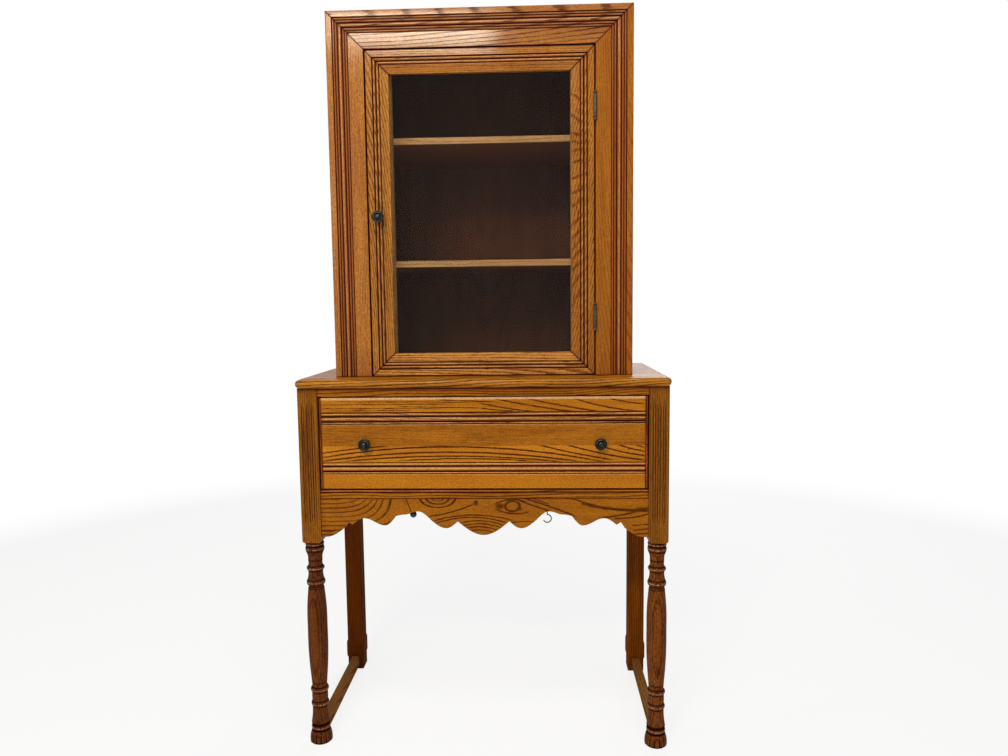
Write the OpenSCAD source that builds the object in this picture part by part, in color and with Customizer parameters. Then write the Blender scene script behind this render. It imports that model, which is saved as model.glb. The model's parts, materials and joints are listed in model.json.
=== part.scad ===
// Oak display cabinet: a glazed upper case that stands on a one-drawer case with turned front legs.
// Millimetres. X runs to the right, Y to the back and Z up. The origin is on the floor, in the
// middle of the outline, so the front faces -Y.

/* [Overall] */
// Height of the whole cabinet
total_h = 1700; // [1600:5:1850]
// Width over the two front corner posts
case_w = 844; // [800:2:920]
// Depth from the face of the front posts to the back
case_d = 424; // [390:2:480]
// Height of the underside of the top board
case_top = 853; // [830:1:900]
// Clearance between glued pieces that would be pressed together
joint_gap = 0.1; // [0.05:0.05:0.3]
// Width of the hairline left open at each mitre
mitre_gap = 0.4; // [0.1:0.1:1]

/* [Top board] */
// Thickness of the top board
board_t = 20; // [16:1:26]
// How far the top board stands over the front posts
board_front = 12; // [6:1:20]
// How far the top board stands over each side
board_end = 4; // [2:1:20]

/* [Corner posts] */
// Side of the square front posts
post_s = 45; // [42:1:52]
// Length of a post
post_h = 361; // [340:1:380]
// Radius of the rounded lower edges of a post
post_round = 6; // [3:1:9]
// Number of flutes on the face of a post
flute_n = 3; // [1:1:3]
// Radius of one flute
flute_r = 4; // [3:0.5:5]
// Depth of one flute
flute_depth = 2; // [1:0.5:2.5]
// Distance between two flutes
flute_pitch = 11; // [9:0.5:13]
// Length of the pointed end of a flute
flute_tip = 24; // [10:1:40]
// Plain length above the flutes
flute_top = 27; // [20:1:50]
// Plain length below the flutes
flute_foot = 38; // [20:1:60]

/* [Front legs] */
// Radius of the tenon that enters the post
tenon_r = 12; // [9:0.5:15]
// Length of that tenon
tenon_l = 40; // [25:1:60]
// Largest radius of the vase
vase_r = 23; // [20:0.5:24]
// Radius at the two ends of the vase
vase_end_r = 18; // [16:0.5:19.5]
// Radius of the collar under the post
collar_r = 22; // [20:0.5:22.4]
// Radius of the neck under the collar
neck_r = 16.2; // [14:0.2:18]
// Radius of the thin rings
ring_r = 20.8; // [19:0.2:22]
// Radius of the hollows beside the rings
waist_r = 17.8; // [15:0.2:18.6]
// Radius of the ankle above the foot
ankle_r = 21.6; // [20:0.2:23]
// Largest radius of the hoof foot
hoof_r = 26.5; // [25:0.5:29]
// Height of the hoof foot
hoof_h = 31; // [28:1:36]
// Radius of one carved line between the toes
toe_r = 1.4; // [0.8:0.1:2]
// Number of carved lines on the front of a foot
toe_n = 6; // [4:1:8]
// Angle between two of those lines, in degrees
toe_pitch = 27; // [16:1:30]

/* [Back legs] */
// Side of the square back legs
back_leg_s = 44; // [40:1:50]
// How far the block at the foot stands proud
block_out = 2.5; // [1:0.5:4]
// Height of the underside of that block
block_foot = 36; // [30:1:45]
// Height of that block
block_h = 50; // [45:1:60]
// Width of a side stretcher
stretcher_w = 20; // [16:1:24]
// Height of a side stretcher
stretcher_h = 28; // [22:1:30]
// Height of the underside of the stretchers
stretcher_z = 10; // [8:1:14]
// How deep a stretcher enters the front leg
stretcher_in = 10; // [6:1:14]

/* [Case] */
// Thickness of the side panels
side_t = 16; // [12:1:20]
// How far the side panels lie behind the outer faces of the posts
side_setback = 4; // [2:1:8]
// Height of the side and back panels
side_h = 271; // [262:1:290]
// Thickness of the back panels
back_t = 6; // [4:1:10]
// Height of the rail above the drawer
top_rail_h = 19.5; // [16:0.5:24]
// Thickness of the front rails
rail_t = 22; // [18:1:26]
// How far the front rails lie behind the faces of the posts
rail_setback = 1.5; // [0.5:0.5:3]
// Height of the rail below the drawer
low_rail_h = 20; // [18:1:24]
// Depth of the rail below the drawer
low_rail_d = 60; // [50:1:80]
// Radius of the bead along that rail
rail_bead_r = 2.3; // [1.5:0.1:3]
// Thickness of the apron
apron_t = 18; // [14:1:22]
// How far the apron lies behind the faces of the posts
apron_setback = 5; // [4:0.5:8]
// Depth of the apron at its middle lobe
apron_h = 87; // [80:1:94]
// Thickness of the board under the drawer
dust_t = 6; // [4:1:8]
// How far that board lies above the underside of the lower rail
dust_lift = 2; // [1:0.5:4]

/* [Drawer] */
// Height of the drawer front
drawer_h = 210.5; // [200:0.5:220]
// Gap around the drawer front
drawer_gap = 3; // [2:0.5:4]
// How far the drawer front lies behind the faces of the posts
drawer_setback = 2; // [1:0.5:4]
// Thickness of the drawer front
drawer_front_t = 20; // [18:1:26]
// Space between the shut drawer and the back panel
drawer_space = 24; // [16:1:60]
// Thickness of the drawer sides and back
drawer_side_t = 12; // [10:1:15]
// Thickness of the drawer bottom
drawer_floor_t = 5; // [4:0.5:8]
// Height of the drawer bottom above the lower edge of the sides
drawer_floor_z = 12; // [8:1:16]
// Height of the plain middle of the drawer front
drawer_flat_h = 88; // [80:1:96]
// Width of the bead strip at each end of the drawer front
end_bead_w = 4.5; // [3:0.5:6]
// How far the drawer sides lie inside the ends of the drawer front
drawer_side_in = 3; // [2:0.5:6]
// How far the drawer sides stop below the top of the drawer front
drawer_side_drop = 4; // [2:0.5:8]
// Clearance between the drawer and its runners
runner_gap = 0.3; // [0.3:0.1:1]
// Clearance between the drawer sides and their guides
guide_gap = 1; // [0.5:0.1:1.5]
// Clearance between the drawer sides and the kickers over them
kicker_gap = 2; // [1:0.5:4]
// Clearance between the shut drawer and its stops
drawer_stop_gap = 1; // [0.5:0.1:2]
// Length of a drawer stop
drawer_stop_l = 10; // [6:1:14]
// Height of a runner
runner_h = 18; // [12:1:20]
// Width of a runner beside and below the drawer side
runner_lap = 14; // [13:1:20]

/* [Mouldings] */
// Depth of the grooves between reeds
groove_depth = 3; // [2:0.2:4]
// Depth of the top of a reed behind the face
reed_drop = 0.5; // [0.2:0.1:1]
// Width of a narrow reed with its groove
reed_w = 5.7; // [5:0.1:6.4]
// Width of a wide reed with its groove
wide_reed_w = 11.4; // [9:0.2:13]
// Width of the bottom of a groove
groove_w = 0.8; // [0.4:0.1:1.5]
// Width of the outer band of the face frame
frame_band_w = 15; // [12:0.5:18]
// Depth of the plain flat of the face frame behind its band
frame_flat_drop = 1.5; // [1:0.1:2]
// Width of the outer band of the door frame
door_band_w = 16; // [12:0.5:17]

/* [Upper case] */
// How far each side of the upper case lies inside the outer face of a post
upper_inset = 76; // [50:1:100]
// How far the upper case stands behind the faces of the posts
upper_setback = 59; // [50:1:80]
// Width of the face frame's members
frame_w = 85; // [80:1:95]
// Thickness of the upper case's sides, top and bottom
upper_t = 16; // [12:1:20]
// Thickness of the stop boards behind the door
stop_t = 26; // [14:1:30]
// Thickness of the shelves
shelf_t = 15; // [12:1:19]
// Height of the top of the lower shelf above the top board
low_shelf_up = 271; // [200:1:330]
// Height of the top of the upper shelf above the top board
high_shelf_up = 555; // [500:1:600]
// Side of the square cleats under the shelves
cleat_s = 14; // [10:1:18]
// Distance from the ends of a cleat to the edges of its shelf
cleat_inset = 8; // [4:1:20]
// Gap between the stop boards and the front edges of the shelves
shelf_gap = 1; // [0.5:0.5:4]

/* [Door] */
// Width of the door frame's members
door_w = 53; // [50:1:60]
// Thickness of the door
door_t = 20; // [18:1:21]
// How far the door's face lies behind the face frame's band
door_setback = 3.5; // [3:0.5:5]
// Gap around the door
door_gap = 2; // [1.5:0.1:3]
// Clearance between the door and the stop boards
stop_gap = 0.5; // [0.3:0.1:1]
// Thickness of the glass
glass_t = 3; // [2:0.5:5]
// Width of the rebate that holds the glass
rebate_w = 9; // [7:0.5:12]
// Depth of the glass behind the door's face
glass_in = 9; // [7:0.5:10]
// Clearance of the glass in its rebate
glass_gap = 0.5; // [0.3:0.1:1]
// Side of the square glazing beads
glaze_s = 7; // [5:0.5:7.5]

/* [Hinges] */
// Height of a hinge leaf
leaf_h = 51; // [45:1:64]
// Width of a hinge leaf behind the barrel
leaf_w = 17; // [14:1:18]
// Thickness of a hinge leaf
leaf_t = 1.2; // [1:0.1:1.6]
// Gap between the closed leaves
leaf_gap = 0.3; // [0.3:0.1:0.6]
// Radius of the hinge barrel
barrel_r = 3.75; // [3:0.25:4.5]
// Clearance between the hinge barrel and the flat of the face frame
barrel_gap = 0.25; // [0.2:0.05:0.5]
// Radius of the hinge pin
pin_r = 1.8; // [1.4:0.1:2.2]
// Radial clearance between the pin and its knuckles
pin_gap = 0.05; // [0.02:0.01:0.1]
// Clearance between two knuckles
knuckle_gap = 0.3; // [0.3:0.1:0.6]
// Radius of the ball tips
ball_r = 4; // [3:0.25:5]
// Distance from the ends of the door to the middle of a hinge
hinge_inset = 133; // [100:1:200]
// Radius of the hinge screws' heads
screw_r = 2.6; // [2:0.1:3]
// Length of the hinge screws
screw_l = 14; // [10:1:18]

/* [Knobs] */
// Diameter of a knob
knob_d = 28; // [24:1:34]
// How far a knob stands out of its face
knob_l = 26; // [22:1:32]
// Diameter of a knob's back plate
plate_d = 20; // [18:1:24]
// Distance from an end of the drawer front to its knob
drawer_knob_in = 107; // [70:1:150]
// Distance from the free edge of the door to its knob
door_knob_in = 25; // [20:1:30]
// Height of the door knob above the lower edge of the door
door_knob_up = 366; // [300:1:440]
// Diameter of the screw that holds a knob
knob_screw_d = 4; // [3:0.5:5]
// Height of the head of that screw
knob_head_h = 1.4; // [1:0.2:2]

/* [Catch] */
// Width of the magnet case let into the left stop board
catch_w = 23; // [16:1:24]
// Height of the magnet case
catch_h = 30; // [20:1:50]
// Depth of the magnet case
catch_d = 14; // [8:1:20]
// Distance of the catch below the door knob
catch_drop = 40; // [30:1:80]
// Width of the steel plate on the door
plate_w = 16; // [12:1:20]
// Height of that plate
plate_h = 24; // [16:1:40]
// Thickness of that plate
plate_t = 1.5; // [1:0.1:2]

/* [Hooks] */
// Thickness of the wire of the ring hook
hook_wire = 2.6; // [2:0.2:4]
// Radius of the ring of that hook
hook_ring_r = 9.4; // [7:0.2:14]
// Place of the ring hook to the right of the middle
hook_x = 147; // [100:1:200]
// Distance from the lower rail down to the middle of the ring
hook_drop = 58; // [40:1:70]
// Diameter of the ball on the peg
peg_ball_d = 16; // [12:1:20]
// Place of the ball peg to the left of the middle
peg_x = 168; // [120:1:220]
// Distance from the lower rail down to the middle of the ball
peg_drop = 48; // [30:1:60]
// Place of both hooks behind the faces of the posts
hook_y = 42; // [35:1:50]

/* [Hidden] */
$fn = 48;
eps = 0.01;

// Places worked out from the sizes above
knob_reach = knob_l - drawer_setback;
post_y = knob_reach / 2 - case_d / 2;
back_y = post_y + case_d;
half_w = case_w / 2;
post_x = half_w - post_s / 2;
post_in = half_w - post_s;
leg_y = post_y + post_s / 2;
back_leg_y = back_y - back_leg_s;
back_leg_in = half_w - back_leg_s;
panel_front = back_y - back_t;
side_in = half_w - side_setback - side_t;
board_top = case_top + board_t;

open_top = case_top - top_rail_h;
drawer_top = open_top - drawer_gap;
drawer_foot = drawer_top - drawer_h;
low_rail_top = drawer_foot - drawer_gap;
low_rail_foot = low_rail_top - low_rail_h;
apron_top = low_rail_foot;
post_foot = case_top - post_h;
side_foot = case_top - side_h;
dust_z = low_rail_foot + dust_lift;
hook_z = low_rail_foot - hook_drop;
peg_z = low_rail_foot - peg_drop;

drawer_y = post_y + drawer_setback;
drawer_half = post_in - drawer_gap;
drawer_side_x = drawer_half - drawer_side_in;
drawer_side_foot = low_rail_top + runner_gap;
drawer_side_top = drawer_top - drawer_side_drop;
drawer_back_y = panel_front - drawer_space;
drawer_mid = drawer_foot + drawer_h / 2;

frame_y = post_y + upper_setback;
frame_t = door_setback + door_t + stop_gap;
frame_back = frame_y + frame_t;
upper_half = half_w - upper_inset;
upper_in = upper_half - upper_t;
frame_in = upper_half - frame_w;
frame_open_top = total_h - frame_w;
shelf_y = frame_back + stop_t + shelf_gap;
upper_back_y = panel_front;
low_shelf_z = board_top + low_shelf_up;
high_shelf_z = board_top + high_shelf_up;

door_half = frame_in - door_gap;
door_top = frame_open_top - door_gap;
door_foot = board_top + door_gap;
door_y = frame_y + door_setback;
door_knob_x = door_half - door_knob_in;
door_knob_z = door_foot + door_knob_up;
drawer_knob_x = drawer_half - drawer_knob_in;
glass_half = door_half - door_w;
glass_top = door_top - door_w;
glass_foot = door_foot + door_w;
glass_y = door_y + glass_in;

hinge_x = (frame_in + door_half) / 2;
hinge_y = frame_y + frame_flat_drop - barrel_r - barrel_gap;
hinge_zs = [door_foot + hinge_inset, door_top - hinge_inset];
leaf_back = door_y + leaf_w;

wood_a = [0.72, 0.45, 0.17];
wood_b = [0.62, 0.37, 0.13];
wood_dark = [0.42, 0.22, 0.09];
bronze = [0.22, 0.18, 0.14];

// A box from its lowest and highest corners
module slab(x0, x1, y0, y1, z0, z1) {
  translate([x0, y0, z0])
    cube([x1 - x0, y1 - y0, z1 - z0]);
}

// A prism over an outline drawn in X and Z, from y0 to y1
module prism_y(points, y0, y1) {
  translate([0, y1, 0])
    rotate([90, 0, 0])
      linear_extrude(height = y1 - y0)
        polygon(points);
}

// Mouldings
// A moulding's section has its outer edge at x = 0 and its face at y = 0, with the depth along +y.

function reed_radius(w, h) = (w * w / 4 + h * h) / (2 * h);
function sum_to(list, n) = n <= 0 ? 0 : list[n - 1] + sum_to(list, n - 1);

module reeds(start, widths) {
  height = groove_depth - reed_drop;
  for (i = [0:len(widths) - 1]) {
    w = widths[i] - groove_w;
    r = reed_radius(w, height);
    translate([start + sum_to(widths, i) + groove_w + w / 2, reed_drop + r])
      circle(r = r);
  }
}

module band(w, t, r = 2) {
  translate([r, 0])
    square([w - r, t]);
  translate([0, r])
    square([w, t - r]);
  translate([r, r])
    circle(r = r);
}

frame_reeds = [reed_w, reed_w, wide_reed_w, reed_w, reed_w];
frame_flat_x = frame_band_w + sum_to(frame_reeds, 5) + groove_w;

module frame_section() {
  translate([0, groove_depth])
    square([frame_w, frame_t - groove_depth]);
  band(frame_band_w, frame_t, 3);
  reeds(frame_band_w, frame_reeds);
  translate([frame_flat_x, frame_flat_drop])
    square([frame_w - frame_flat_x, frame_t - frame_flat_drop]);
}

door_reeds = [reed_w + 2.3, reed_w + 2.3];
door_flat_x = door_band_w + sum_to(door_reeds, 2) + groove_w;
lip_w = 1.8;

module door_section() {
  difference() {
    union() {
      translate([0, groove_depth])
        square([door_w - lip_w, door_t - groove_depth]);
      band(door_band_w, door_t, 1);
      reeds(door_band_w, door_reeds);
      polygon([
        [door_flat_x, 0.6], [door_flat_x + 5, 0.6], [door_flat_x + 5.6, 1],
        [door_w - lip_w, 2.6], [door_w - lip_w, door_t], [door_flat_x, door_t]
      ]);
      translate([door_w - lip_w, 2.4 + lip_w])
        circle(r = lip_w);
      translate([door_w - lip_w - eps, 2.4 + lip_w])
        square([lip_w + eps, door_t - 2.4 - lip_w]);
    }
    translate([door_w - rebate_w, glass_in])
      square([rebate_w + 1, door_t]);
  }
}

// Members of a mitred frame: its section run along the outer edge, cut to its own trapezium

module right_member(half, z0, z1) {
  translate([half, 0, z0])
    mirror([1, 0, 0])
      linear_extrude(height = z1 - z0)
        children();
}

module top_member(half, z1) {
  translate([-half, 0, z1])
    rotate([0, 90, 0])
      linear_extrude(height = 2 * half)
        children();
}

module bottom_member(half, z0) {
  translate([half, 0, z0])
    rotate([0, -90, 0])
      linear_extrude(height = 2 * half)
        children();
}

module face_stile() {
  intersection() {
    translate([0, frame_y, 0])
      right_member(upper_half, board_top, total_h)
        frame_section();
    prism_y([
      [upper_half, board_top], [upper_half, total_h],
      [frame_in, frame_open_top], [frame_in, board_top]
    ], frame_y - 1, frame_back + 1);
  }
}

module left_face_stile() {
  color(wood_a)
    mirror([1, 0, 0])
      face_stile();
}

module right_face_stile() {
  color(wood_a)
    difference() {
      face_stile();
      hinge_mortises(1);
    }
}

module top_face_rail() {
  color(wood_a)
    intersection() {
      translate([0, frame_y, 0])
        top_member(upper_half, total_h)
          frame_section();
      prism_y([
        [-upper_half + mitre_gap, total_h], [upper_half - mitre_gap, total_h],
        [frame_in - mitre_gap, frame_open_top], [-frame_in + mitre_gap, frame_open_top]
      ], frame_y - 1, frame_back + 1);
    }
}

// Upper case

module upper_side() {
  slab(upper_in, upper_half, frame_back, back_y, board_top, total_h);
}

module left_upper_side() {
  color(wood_b)
    mirror([1, 0, 0])
      upper_side();
}

module right_upper_side() {
  color(wood_b)
    upper_side();
}

module upper_top_panel() {
  color(wood_b)
    slab(-upper_in, upper_in, frame_back, upper_back_y, total_h - upper_t, total_h);
}

module upper_bottom_panel() {
  color(wood_b)
    slab(-upper_in, upper_in, frame_back, upper_back_y, board_top, board_top + upper_t);
}

module upper_back() {
  color(wood_dark)
    slab(-upper_in, upper_in, upper_back_y, back_y, board_top, total_h);
}

module stop_board() {
  slab(glass_half, upper_in, frame_back, frame_back + stop_t,
       board_top + upper_t, total_h - upper_t);
}

module left_stop_board() {
  color(wood_dark)
    mirror([1, 0, 0])
      difference() {
        stop_board();
        catch_recess();
      }
}

module right_stop_board() {
  color(wood_dark)
    stop_board();
}

module shelf(top) {
  slab(-upper_in + joint_gap, upper_in - joint_gap, shelf_y, upper_back_y - joint_gap,
       top - shelf_t, top);
}

module upper_shelf() {
  color(wood_a)
    shelf(high_shelf_z);
}

module lower_shelf() {
  color(wood_a)
    shelf(low_shelf_z);
}

module cleats(top) {
  for (s = [0, 1])
    mirror([s, 0, 0])
      slab(upper_in - cleat_s, upper_in, shelf_y + cleat_inset, upper_back_y - cleat_inset,
           top - shelf_t - cleat_s, top - shelf_t);
}

module upper_shelf_cleats() {
  color(wood_b)
    cleats(high_shelf_z);
}

module lower_shelf_cleats() {
  color(wood_b)
    cleats(low_shelf_z);
}

// Door

module door_stile() {
  intersection() {
    translate([0, door_y, 0])
      right_member(door_half, door_foot, door_top)
        door_section();
    prism_y([
      [door_half, door_foot], [door_half, door_top],
      [glass_half, glass_top], [glass_half, glass_foot]
    ], door_y - 1, door_y + door_t + 1);
  }
}

module door_left_stile() {
  color(wood_a)
    difference() {
      mirror([1, 0, 0])
        door_stile();
      translate([-door_knob_x, 0, door_knob_z])
        knob_hole(door_y, door_t);
      mirror([1, 0, 0])
        plate_recess();
    }
}

module door_right_stile() {
  color(wood_a)
    difference() {
      door_stile();
      hinge_mortises(-1);
    }
}

module door_rail_cut(z_out, z_in) {
  g = mitre_gap;
  prism_y([
    [-door_half + g, z_out], [door_half - g, z_out], [glass_half - g, z_in], [-glass_half + g, z_in]
  ], door_y - 1, door_y + door_t + 1);
}

module door_top_rail() {
  color(wood_a)
    intersection() {
      translate([0, door_y, 0])
        top_member(door_half, door_top)
          door_section();
      door_rail_cut(door_top, glass_top);
    }
}

module door_bottom_rail() {
  color(wood_a)
    intersection() {
      translate([0, door_y, 0])
        bottom_member(door_half, door_foot)
          door_section();
      door_rail_cut(door_foot, glass_foot);
    }
}

pane_half = glass_half + rebate_w - glass_gap;
pane_top = glass_top + rebate_w - glass_gap;
pane_foot = glass_foot - rebate_w + glass_gap;

module door_glass() {
  color([0.2, 0.22, 0.22, 0.4])
    slab(-pane_half, pane_half, glass_y, glass_y + glass_t, pane_foot, pane_top);
}

module glazing_beads() {
  bead_y = glass_y + glass_t;
  edge = rebate_w - joint_gap;
  color(wood_b) {
    for (s = [0, 1])
      mirror([s, 0, 0])
        slab(glass_half + edge - glaze_s, glass_half + edge, bead_y, bead_y + glaze_s,
             glass_foot - edge + glaze_s + joint_gap, glass_top + edge - glaze_s - joint_gap);
    for (z = [glass_foot - edge, glass_top + edge - glaze_s])
      slab(-glass_half - edge, glass_half + edge, bead_y, bead_y + glaze_s, z, z + glaze_s);
  }
}

// Hinges: three knuckles on the case leaf and two on the door leaf

knuckle_h = leaf_h / 5;
shank_r = screw_r * 0.6;

module at_hinges() {
  for (z = hinge_zs)
    translate([hinge_x, hinge_y, z - leaf_h / 2])
      children();
}

// The recess in a stile's edge for a leaf; side is 1 on the case and -1 on the door
module hinge_mortises(side) {
  inner = leaf_gap / 2 + leaf_t;
  depth = leaf_back - hinge_y;
  at_hinges()
    translate([side > 0 ? 0 : -inner, 0, -joint_gap])
      cube([inner, depth + joint_gap, leaf_h + 2 * joint_gap]);
  hinge_screw_places(side)
    translate([0, 0, -screw_l])
      cylinder(h = screw_l + 1, r = shank_r + joint_gap);
}

// Screw places on a leaf, with +Z along the screw's axis out of its head
module hinge_screw_places(side) {
  plate_mid = (door_y + leaf_back) / 2 - hinge_y + 2;
  at_hinges()
    for (i = [-1:1])
      translate([side * leaf_gap / 2, plate_mid + (i == 0 ? 3 : -2), leaf_h / 2 + i * leaf_h * 0.36])
        rotate([0, side > 0 ? -90 : 90, 0])
          children();
}

module hinge_leaf(side) {
  own = side > 0 ? [0, 2, 4] : [1, 3];
  other = side > 0 ? [1, 3] : [0, 2, 4];
  depth = leaf_back - hinge_y;
  at_hinges()
    difference() {
      union() {
        translate([side > 0 ? leaf_gap / 2 : -leaf_gap / 2 - leaf_t, 0, 0])
          cube([leaf_t, depth, leaf_h]);
        for (k = own)
          translate([0, 0, k * knuckle_h + (k == 0 ? 0 : knuckle_gap / 2)])
            cylinder(h = knuckle_h - (k == 0 || k == 4 ? knuckle_gap / 2 : knuckle_gap), r = barrel_r);
      }
      translate([0, 0, -1])
        cylinder(h = leaf_h + 2, r = pin_r + pin_gap);
      for (k = other)
        translate([0, 0, k * knuckle_h - knuckle_gap / 2])
          cylinder(h = knuckle_h + knuckle_gap, r = barrel_r + knuckle_gap);
    }
}

module leaf_with_holes(side) {
  color(bronze)
    difference() {
      hinge_leaf(side);
      hinge_screw_places(side)
        translate([0, 0, -leaf_t - 1])
          cylinder(h = leaf_t + 2, r = screw_r + joint_gap);
    }
}

module case_hinge_leaves() {
  leaf_with_holes(1);
}

module door_hinge_leaves() {
  leaf_with_holes(-1);
}

module hinge_pins() {
  color(bronze)
    at_hinges() {
      translate([0, 0, -ball_r * 0.6])
        cylinder(h = leaf_h + 2 * ball_r * 0.6, r = pin_r);
      for (z = [-ball_r * 0.9 - 0.2, leaf_h + ball_r * 0.9 + 0.2])
        translate([0, 0, z])
          sphere(r = ball_r);
    }
}

module hinge_screw() {
  translate([0, 0, -leaf_t])
    cylinder(h = leaf_t, r = screw_r);
  translate([0, 0, -screw_l])
    cylinder(h = screw_l - leaf_t + eps, r = shank_r);
}

module case_hinge_screws() {
  color(bronze)
    hinge_screw_places(1)
      hinge_screw();
}

module door_hinge_screws() {
  color(bronze)
    hinge_screw_places(-1)
      hinge_screw();
}

// Knobs: a turned disc with rings on a stem, over a back plate

knob_r = knob_d / 2;
plate_r = plate_d / 2;
knob_head_in = knob_head_h + 0.2;

module knob() {
  rotate([90, 0, 0])
    rotate_extrude()
      polygon(concat(
        [[0, 0], [plate_r, 0], [plate_r, 1.5], [plate_r - 1.5, 2.6], [5, 3.4], [4.6, knob_l * 0.42],
         [knob_r - 3, knob_l * 0.56], [knob_r, knob_l * 0.68], [knob_r, knob_l * 0.78]],
        [[knob_r - 1.2, knob_l * 0.86], [knob_r - 3.4, knob_l * 0.9], [knob_r - 4.2, knob_l * 0.86],
         [knob_r - 5, knob_l * 0.91], [knob_r - 7.2, knob_l * 0.94], [knob_r - 8, knob_l * 0.9],
         [knob_r - 8.8, knob_l * 0.95], [knob_r - 11, knob_l]],
        [[0, knob_l]]
      ));
}

// Knob with the bore that its screw turns into
module bored_knob() {
  difference() {
    knob();
    rotate([90, 0, 0])
      translate([0, 0, -1])
        cylinder(h = knob_l * 0.5 + 1, r = knob_screw_d / 2 + joint_gap);
  }
}

module knob_screw(t) {
  rotate([-90, 0, 0]) {
    translate([0, 0, -knob_l * 0.45])
      cylinder(h = knob_l * 0.45 + t + knob_head_h / 2, r = knob_screw_d / 2);
    translate([0, 0, t])
      cylinder(h = knob_head_h, r = knob_screw_d);
  }
}

module knob_hole(y, t) {
  translate([0, y - 1, 0])
    rotate([-90, 0, 0])
      cylinder(h = t + 2, r = knob_screw_d / 2 + joint_gap);
  translate([0, y + t - knob_head_in, 0])
    rotate([-90, 0, 0])
      cylinder(h = knob_head_in + 1, r = knob_screw_d + joint_gap);
}

module door_knob() {
  color(bronze)
    translate([-door_knob_x, door_y, door_knob_z])
      bored_knob();
}

module door_knob_screw() {
  color("silver")
    translate([-door_knob_x, door_y, door_knob_z])
      knob_screw(door_t - knob_head_in);
}

// Catch: a small magnet case let into the left stop board, and its plate on the door

catch_x = (glass_half + rebate_w + door_half) / 2;
catch_z = door_knob_z - catch_drop;

module catch_box(gap) {
  slab(catch_x - catch_w / 2 - gap, catch_x + catch_w / 2 + gap,
       frame_back - gap, frame_back + catch_d + gap,
       catch_z - catch_h / 2 - gap, catch_z + catch_h / 2 + gap);
}

module catch_recess() {
  catch_box(joint_gap);
}

module door_catch() {
  color([0.15, 0.15, 0.15])
    mirror([1, 0, 0])
      catch_box(0);
}

module plate_box(gap) {
  slab(catch_x - plate_w / 2 - gap, catch_x + plate_w / 2 + gap,
       door_y + door_t - plate_t - gap, door_y + door_t + gap,
       catch_z - plate_h / 2 - gap, catch_z + plate_h / 2 + gap);
}

module plate_recess() {
  plate_box(joint_gap);
}

module catch_plate() {
  color("silver")
    mirror([1, 0, 0])
      plate_box(0);
}

// Top board with a bullnose along its front and ends

module top_board() {
  r = board_t / 2;
  bx = half_w + board_end - r;
  by = post_y - board_front + r;
  zc = case_top + r;
  color(wood_a) {
    slab(-bx, bx, by, back_y, case_top, board_top);
    translate([-bx, by, zc])
      rotate([0, 90, 0])
        cylinder(h = 2 * bx, r = r);
    for (s = [-1, 1])
      translate([s * bx, by, zc]) {
        sphere(r = r);
        rotate([-90, 0, 0])
          cylinder(h = back_y - by, r = r);
      }
  }
}

// Corner posts, fluted on the front

module flute() {
  low = post_foot + flute_foot;
  high = case_top - flute_top;
  translate([0, post_y - flute_r + flute_depth, 0]) {
    translate([0, 0, low + flute_tip])
      cylinder(h = high - low - 2 * flute_tip, r = flute_r);
    translate([0, 0, low])
      cylinder(h = flute_tip + eps, r1 = flute_r - flute_depth, r2 = flute_r);
    translate([0, 0, high - flute_tip - eps])
      cylinder(h = flute_tip + eps, r1 = flute_r, r2 = flute_r - flute_depth);
  }
}

module front_post() {
  r = post_round;
  difference() {
    union() {
      slab(post_in, half_w, post_y, post_y + post_s, post_foot + r, case_top);
      slab(post_in + r, half_w - r, post_y, post_y + post_s, post_foot, post_foot + r + eps);
      for (x = [post_in + r, half_w - r])
        translate([x, post_y, post_foot + r])
          rotate([-90, 0, 0])
            cylinder(h = post_s, r = r);
    }
    for (i = [0:flute_n - 1])
      translate([post_x + (i - (flute_n - 1) / 2) * flute_pitch, 0, 0])
        flute();
    translate([post_x, leg_y, post_foot - 1])
      cylinder(h = tenon_l + 2, r = tenon_r + joint_gap);
  }
}

module left_front_post() {
  color(wood_a)
    mirror([1, 0, 0])
      front_post();
}

module right_front_post() {
  color(wood_a)
    front_post();
}

// Turned front legs. Each row is one stretch of the outline, from the floor up: its height, the
// radii at its lower and upper ends, and how far it swells outward or draws in between them.

function stretch(row, z, n = 8) =
  [for (i = [0:n]) [
    row[1] + (row[2] - row[1]) * i / n + row[3] * sin(180 * i / n),
    z + row[0] * i / n
  ]];
function height_of(rows, n) = n <= 0 ? 0 : rows[n - 1][0] + height_of(rows, n - 1);
function stack(rows, z) = [
  for (i = [0:len(rows) - 1], p = stretch(rows[i], z + height_of(rows, i), rows[i][3] == 0 ? 1 : 8)) p
];

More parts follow.
